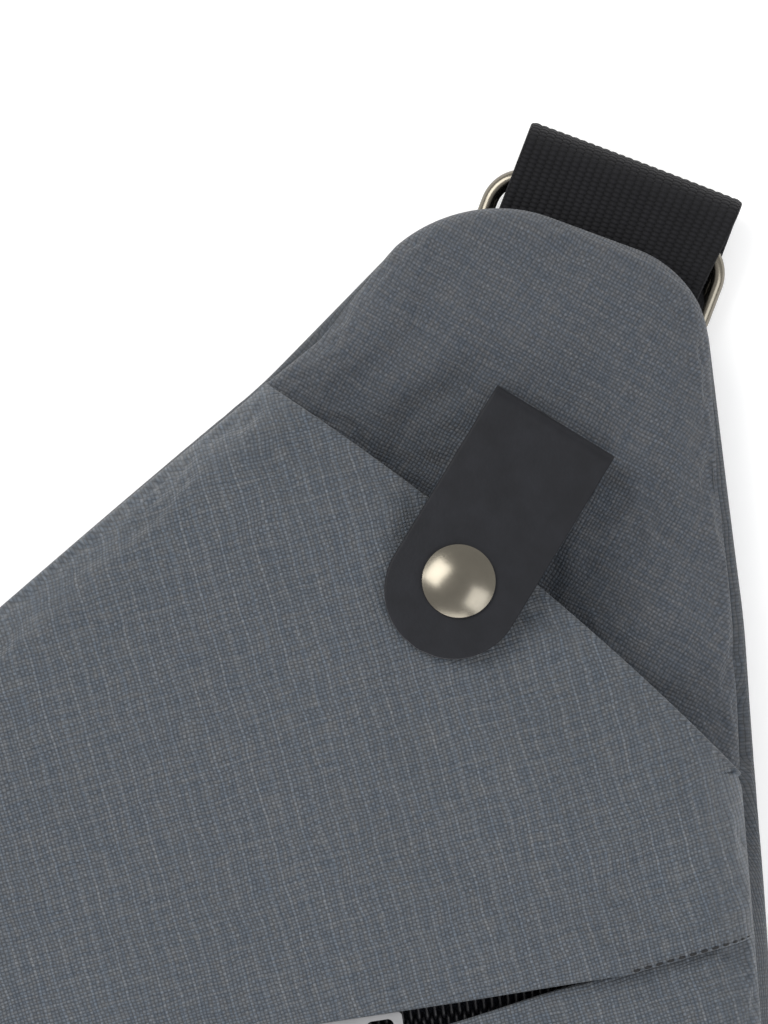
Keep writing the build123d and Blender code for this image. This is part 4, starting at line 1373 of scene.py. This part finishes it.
# --- Zips ---------------------------------------------------------------------------------------
def zip_space(origin, height, along, up, out):
    """Turns (along, across, out) in millimetres into metres in the row frame."""
    base = put(np.asarray(origin), height) / MM
    along, up, out = (np.asarray(axis, float) for axis in (along, up, out))

    def place(points):
        points = np.asarray(points, float)
        moved = base + points[..., :1] * along + points[..., 1:2] * up + points[..., 2:] * out
        return moved * MM
    return place


def zip_tapes(name, node, place, length, edge, gap=2.5):
    """Two woven tapes with a raised cord along their inner edges."""
    for side, label in ((1, "upper"), (-1, "lower")):
        x = np.linspace(0.0, length, 160)
        y = np.linspace(gap, edge, 15)
        grid = np.stack(np.meshgrid(x, y, indexing="ij"), axis=-1)
        cord = 0.25 * np.exp(-((grid[..., 1] - gap - 0.8) / 0.5) ** 2)
        ripple = 0.05 * np.sin(grid[..., 0] * math.tau / 9.0 + side)
        local = np.stack([grid[..., 0], side * grid[..., 1], 0.55 + cord + ripple], axis=-1)
        tape = sheet_object(f"{name}_{label}", place(local), grid, TAPE, thick=0.5, up=False, centred=True)
        face_outwards(tape)
        finish_piece(tape, "bag", "zip_tape", *([node] if side == 1 else []))


def zip_teeth(name, node, place, length, pitch=1.5, reach=3.5):
    """Two rows of coil turns that mesh along the middle."""
    rings, sides = 6, 8
    around = np.linspace(0.0, math.tau, sides + 1)[:-1]
    bite = np.linspace(-0.35, reach, rings)
    bulge = np.array((0.45, 1.0, 0.9, 0.85, 0.9, 0.5))
    points = []
    count = int((length - 6.0) / pitch)
    for side in (-1, 1):
        for number in range(count):
            middle = 3.0 + number * pitch + (pitch / 2 if side == 1 else 0.0)
            x = middle + 0.36 * bulge[:, None] * np.cos(around)[None]
            z = -0.55 + 0.5 * bulge[:, None] * np.sin(around)[None]
            y = side * np.repeat(bite[:, None], sides, axis=1)
            points.append(np.stack([x, y, z], axis=-1).reshape(-1, 3))
    coil = closed_tubes(name, place(np.concatenate(points)), rings, sides, ZIP_COIL)
    finish_piece(coil, "bag", "zip_coil", node)


def zips():
    """Tapes and coils of the front zip and of the main zip in the side wall."""
    start = FRONT_ZIP_LEFT - ZIP_UP * 2.5
    front = zip_space(start, FRONT_ZIP_HEIGHT, (*ZIP_ALONG, 0), (*ZIP_UP, 0), (0, 0, 1))
    zip_tapes("front_zip_tape", "front_zip_tapes", front, FRONT_ZIP_LENGTH, 9.5)
    zip_teeth("front_zip_teeth", "front_zip_coils", front, FRONT_ZIP_LENGTH)
    start = SIDE_TOP + SIDE_DOWN * MAIN_ZIP_START - SIDE_OUT * 1.1
    main = zip_space(start, MAIN_ZIP_HEIGHT, (*SIDE_DOWN, 0), (0, 0, 1), (*SIDE_OUT, 0))
    zip_tapes("main_zip_tape", "main_zip_tapes", main, MAIN_ZIP_LENGTH, MAIN_ZIP_SLOT / 2 - 0.05)
    zip_teeth("main_zip_teeth", "main_zip_coils", main, MAIN_ZIP_LENGTH)


# --- Stitching ----------------------------------------------------------------------------------
def stitching(name, lines, slot_name, pitch=2.0, length=1.35, thread=0.24):
    """Rows of separate thread stitches along lines of points in metres, given with their surface normals."""
    rings, sides = 7, 8
    t = np.linspace(0.0, 1.0, rings)
    around = np.linspace(0.0, math.tau, sides + 1)[:-1]
    points = []
    for line, normal in lines:
        line = np.asarray(line, float) / MM
        size = np.linalg.norm(np.diff(line, axis=0), axis=1).sum()
        count = max(int(size / pitch), 1)
        dense = resample(line, count * 20 + 1)
        normal = unit(normal)
        for number in range(count):
            first = dense[number * 20]
            along = unit(dense[min(number * 20 + 14, len(dense) - 1)] - first)
            side = np.cross(normal, along)
            girth = thread * np.sqrt(np.clip(1.02 - (2 * t - 1) ** 4, 0.0, 1.0))
            rise = 0.10 + 0.22 * np.sin(math.pi * t) - 0.12
            centre = first + along * (t * length)[:, None] + normal * rise[:, None]
            tube = centre[:, None] + side * (girth[:, None] * np.cos(around))[..., None]
            tube = tube + normal * (girth[:, None] * np.sin(around))[..., None]
            points.append(tube.reshape(-1, 3))
    thread_rows = closed_tubes(name, np.concatenate(points) * MM, rings, sides, THREAD_SPOOL)
    finish_piece(thread_rows, "bag", slot_name)


# --- Finishes of the designed parts ---------------------------------------------------------------
def paint(material, *nodes):
    """Give some of the design's own parts a material."""
    for node in nodes:
        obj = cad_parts[node]
        if not obj.material_slots:
            obj.data.materials.append(material)
        for place in obj.material_slots:
            place.material = material
        shade_smooth(obj.data)


def hardware():
    paint(NICKEL, "snap_cap", "snap_socket", "snap_stud", "snap_post", "top_ring", "lower_ring")
    paint(ZIP_METAL, "front_slider", "front_pull", "front_zip_stops")
    paint(ZIP_METAL, "main_slider", "main_pull", "main_zip_stops")
    paint(MOULDED, "strap_adjuster")


def layers():
    """The plain layers inside the bag."""
    layer("stiffener_sheet", "stiffener_board", "board", BOARD, BACK_TOP, 10.8, 4.2, 0.05)
    layer("inner_lining_cloth", "inner_lining", "lining_fabric", LINING, 10.9, 11.4, 2.2, 0.15, 9.0, 32)
    layer("partition_cloth", "pocket_partition", "lining_fabric", LINING, 19.6, 21.0, 2.4, 0.2, 9.0, 33)
    layer("pocket_lining_cloth", "pocket_lining", "lining_fabric", LINING, 31.3, 31.8, 9.0, 0.15, 10.5, 34)
    low, high = BACK_LOW + 0.05, BACK_TOP - 0.1
    layer("back_panel_cloth", "back_panel", "side_fabric", SIDE_CLOTH_AND_SHADE, low, high, 0.3, 0.0, None, 35)


# --- Stage ----------------------------------------------------------------------------------------
def stage():
    """The ground under the bag."""
    size = 3.0
    mesh = bpy.data.meshes.new("floor")
    corners = [(-size, -size, 0.0), (size, -size, 0.0), (size, size, 0.0), (-size, size, 0.0)]
    mesh.from_pydata(corners, [], [(0, 1, 2, 3)])
    mesh.materials.append(floor_material())
    floor = bpy.data.objects.new("floor", mesh)
    floor.location.z = -0.0005
    bpy.context.scene.collection.objects.link(floor)


def area_light(name, place, target, size, power, warmth=(1.0, 1.0, 1.0)):
    light = bpy.data.lights.new(name, "AREA")
    light.shape = "RECTANGLE"
    light.size, light.size_y = size
    light.energy = power
    light.color = warmth
    obj = bpy.data.objects.new(name, light)
    obj.location = place
    obj.rotation_euler = (Vector(target) - Vector(place)).to_track_quat("-Z", "Y").to_euler()
    bpy.context.scene.collection.objects.link(obj)


def lights():
    middle = tuple(put(np.array((0.0, 0.0)), 30.0))
    x, y, z = middle
    area_light("key", (x - 0.75, y + 0.65, 1.15), middle, (1.1, 0.9), 17.0, (1.0, 0.99, 0.97))
    area_light("fill", (x + 0.9, y - 0.5, 1.0), middle, (0.9, 0.9), 7.0, (0.97, 0.98, 1.0))
    area_light("low_front", (x - 0.1, y - 1.1, 0.75), middle, (1.2, 0.4), 5.0)
    world = bpy.data.worlds.new("studio")
    world.use_nodes = True
    background = world.node_tree.nodes["Background"]
    background.inputs["Color"].default_value = (1.0, 1.0, 1.0, 1.0)
    background.inputs["Strength"].default_value = 0.66
    bpy.context.scene.world = world
    bpy.context.scene.view_settings.view_transform = "Standard"


def camera():
    """Straight down on the top of the bag, +Y up in the picture."""
    height = 2.5                     # above the subject
    seen = 0.1862                    # width in view
    subject = 0.034                  # height of the front panels, about
    data = bpy.data.cameras.new("camera")
    data.sensor_width = 36.0
    data.lens = data.sensor_width * height / seen
    data.clip_end = 20.0
    obj = bpy.data.objects.new("camera", data)
    x, y, _ = put(np.array((0.0, 0.0)), 0.0)
    obj.location = (x, y, subject + height)
    bpy.context.scene.collection.objects.link(obj)
    bpy.context.scene.camera = obj


def build():
    lobe_cover()
    lobe_foam()
    front_panel_upper()
    front_panel_lower()
    side_wall()
    edge_binding()
    layers()
    for node in ("back_pad_left", "back_pad_right"):
        back_pad(node)
    leather_tab()
    top_loop()
    lower_tab()
    shoulder_strap()
    top_place = on_bag(STRAP_ACROSS, TOP_BAR[0])
    tilt = math.asin(1.0 / RING_DEPTH)
    strap_end("strap_top_end_webbing", "strap_top_end", top_place, -ALONG, TOP_BAR[1], 2.8, tilt)
    low_place = on_bag(*LEFT_CORNER) - ACROSS * LOWER_BAR[0]
    strap_end("strap_lower_end_webbing", "strap_lower_end", low_place, -ACROSS, LOWER_BAR[1],
              LOWER_BAR[1] - STRAP_HIGH, 0.0)
    zips()
    hardware()
    stage()
    lights()
    camera()


build()
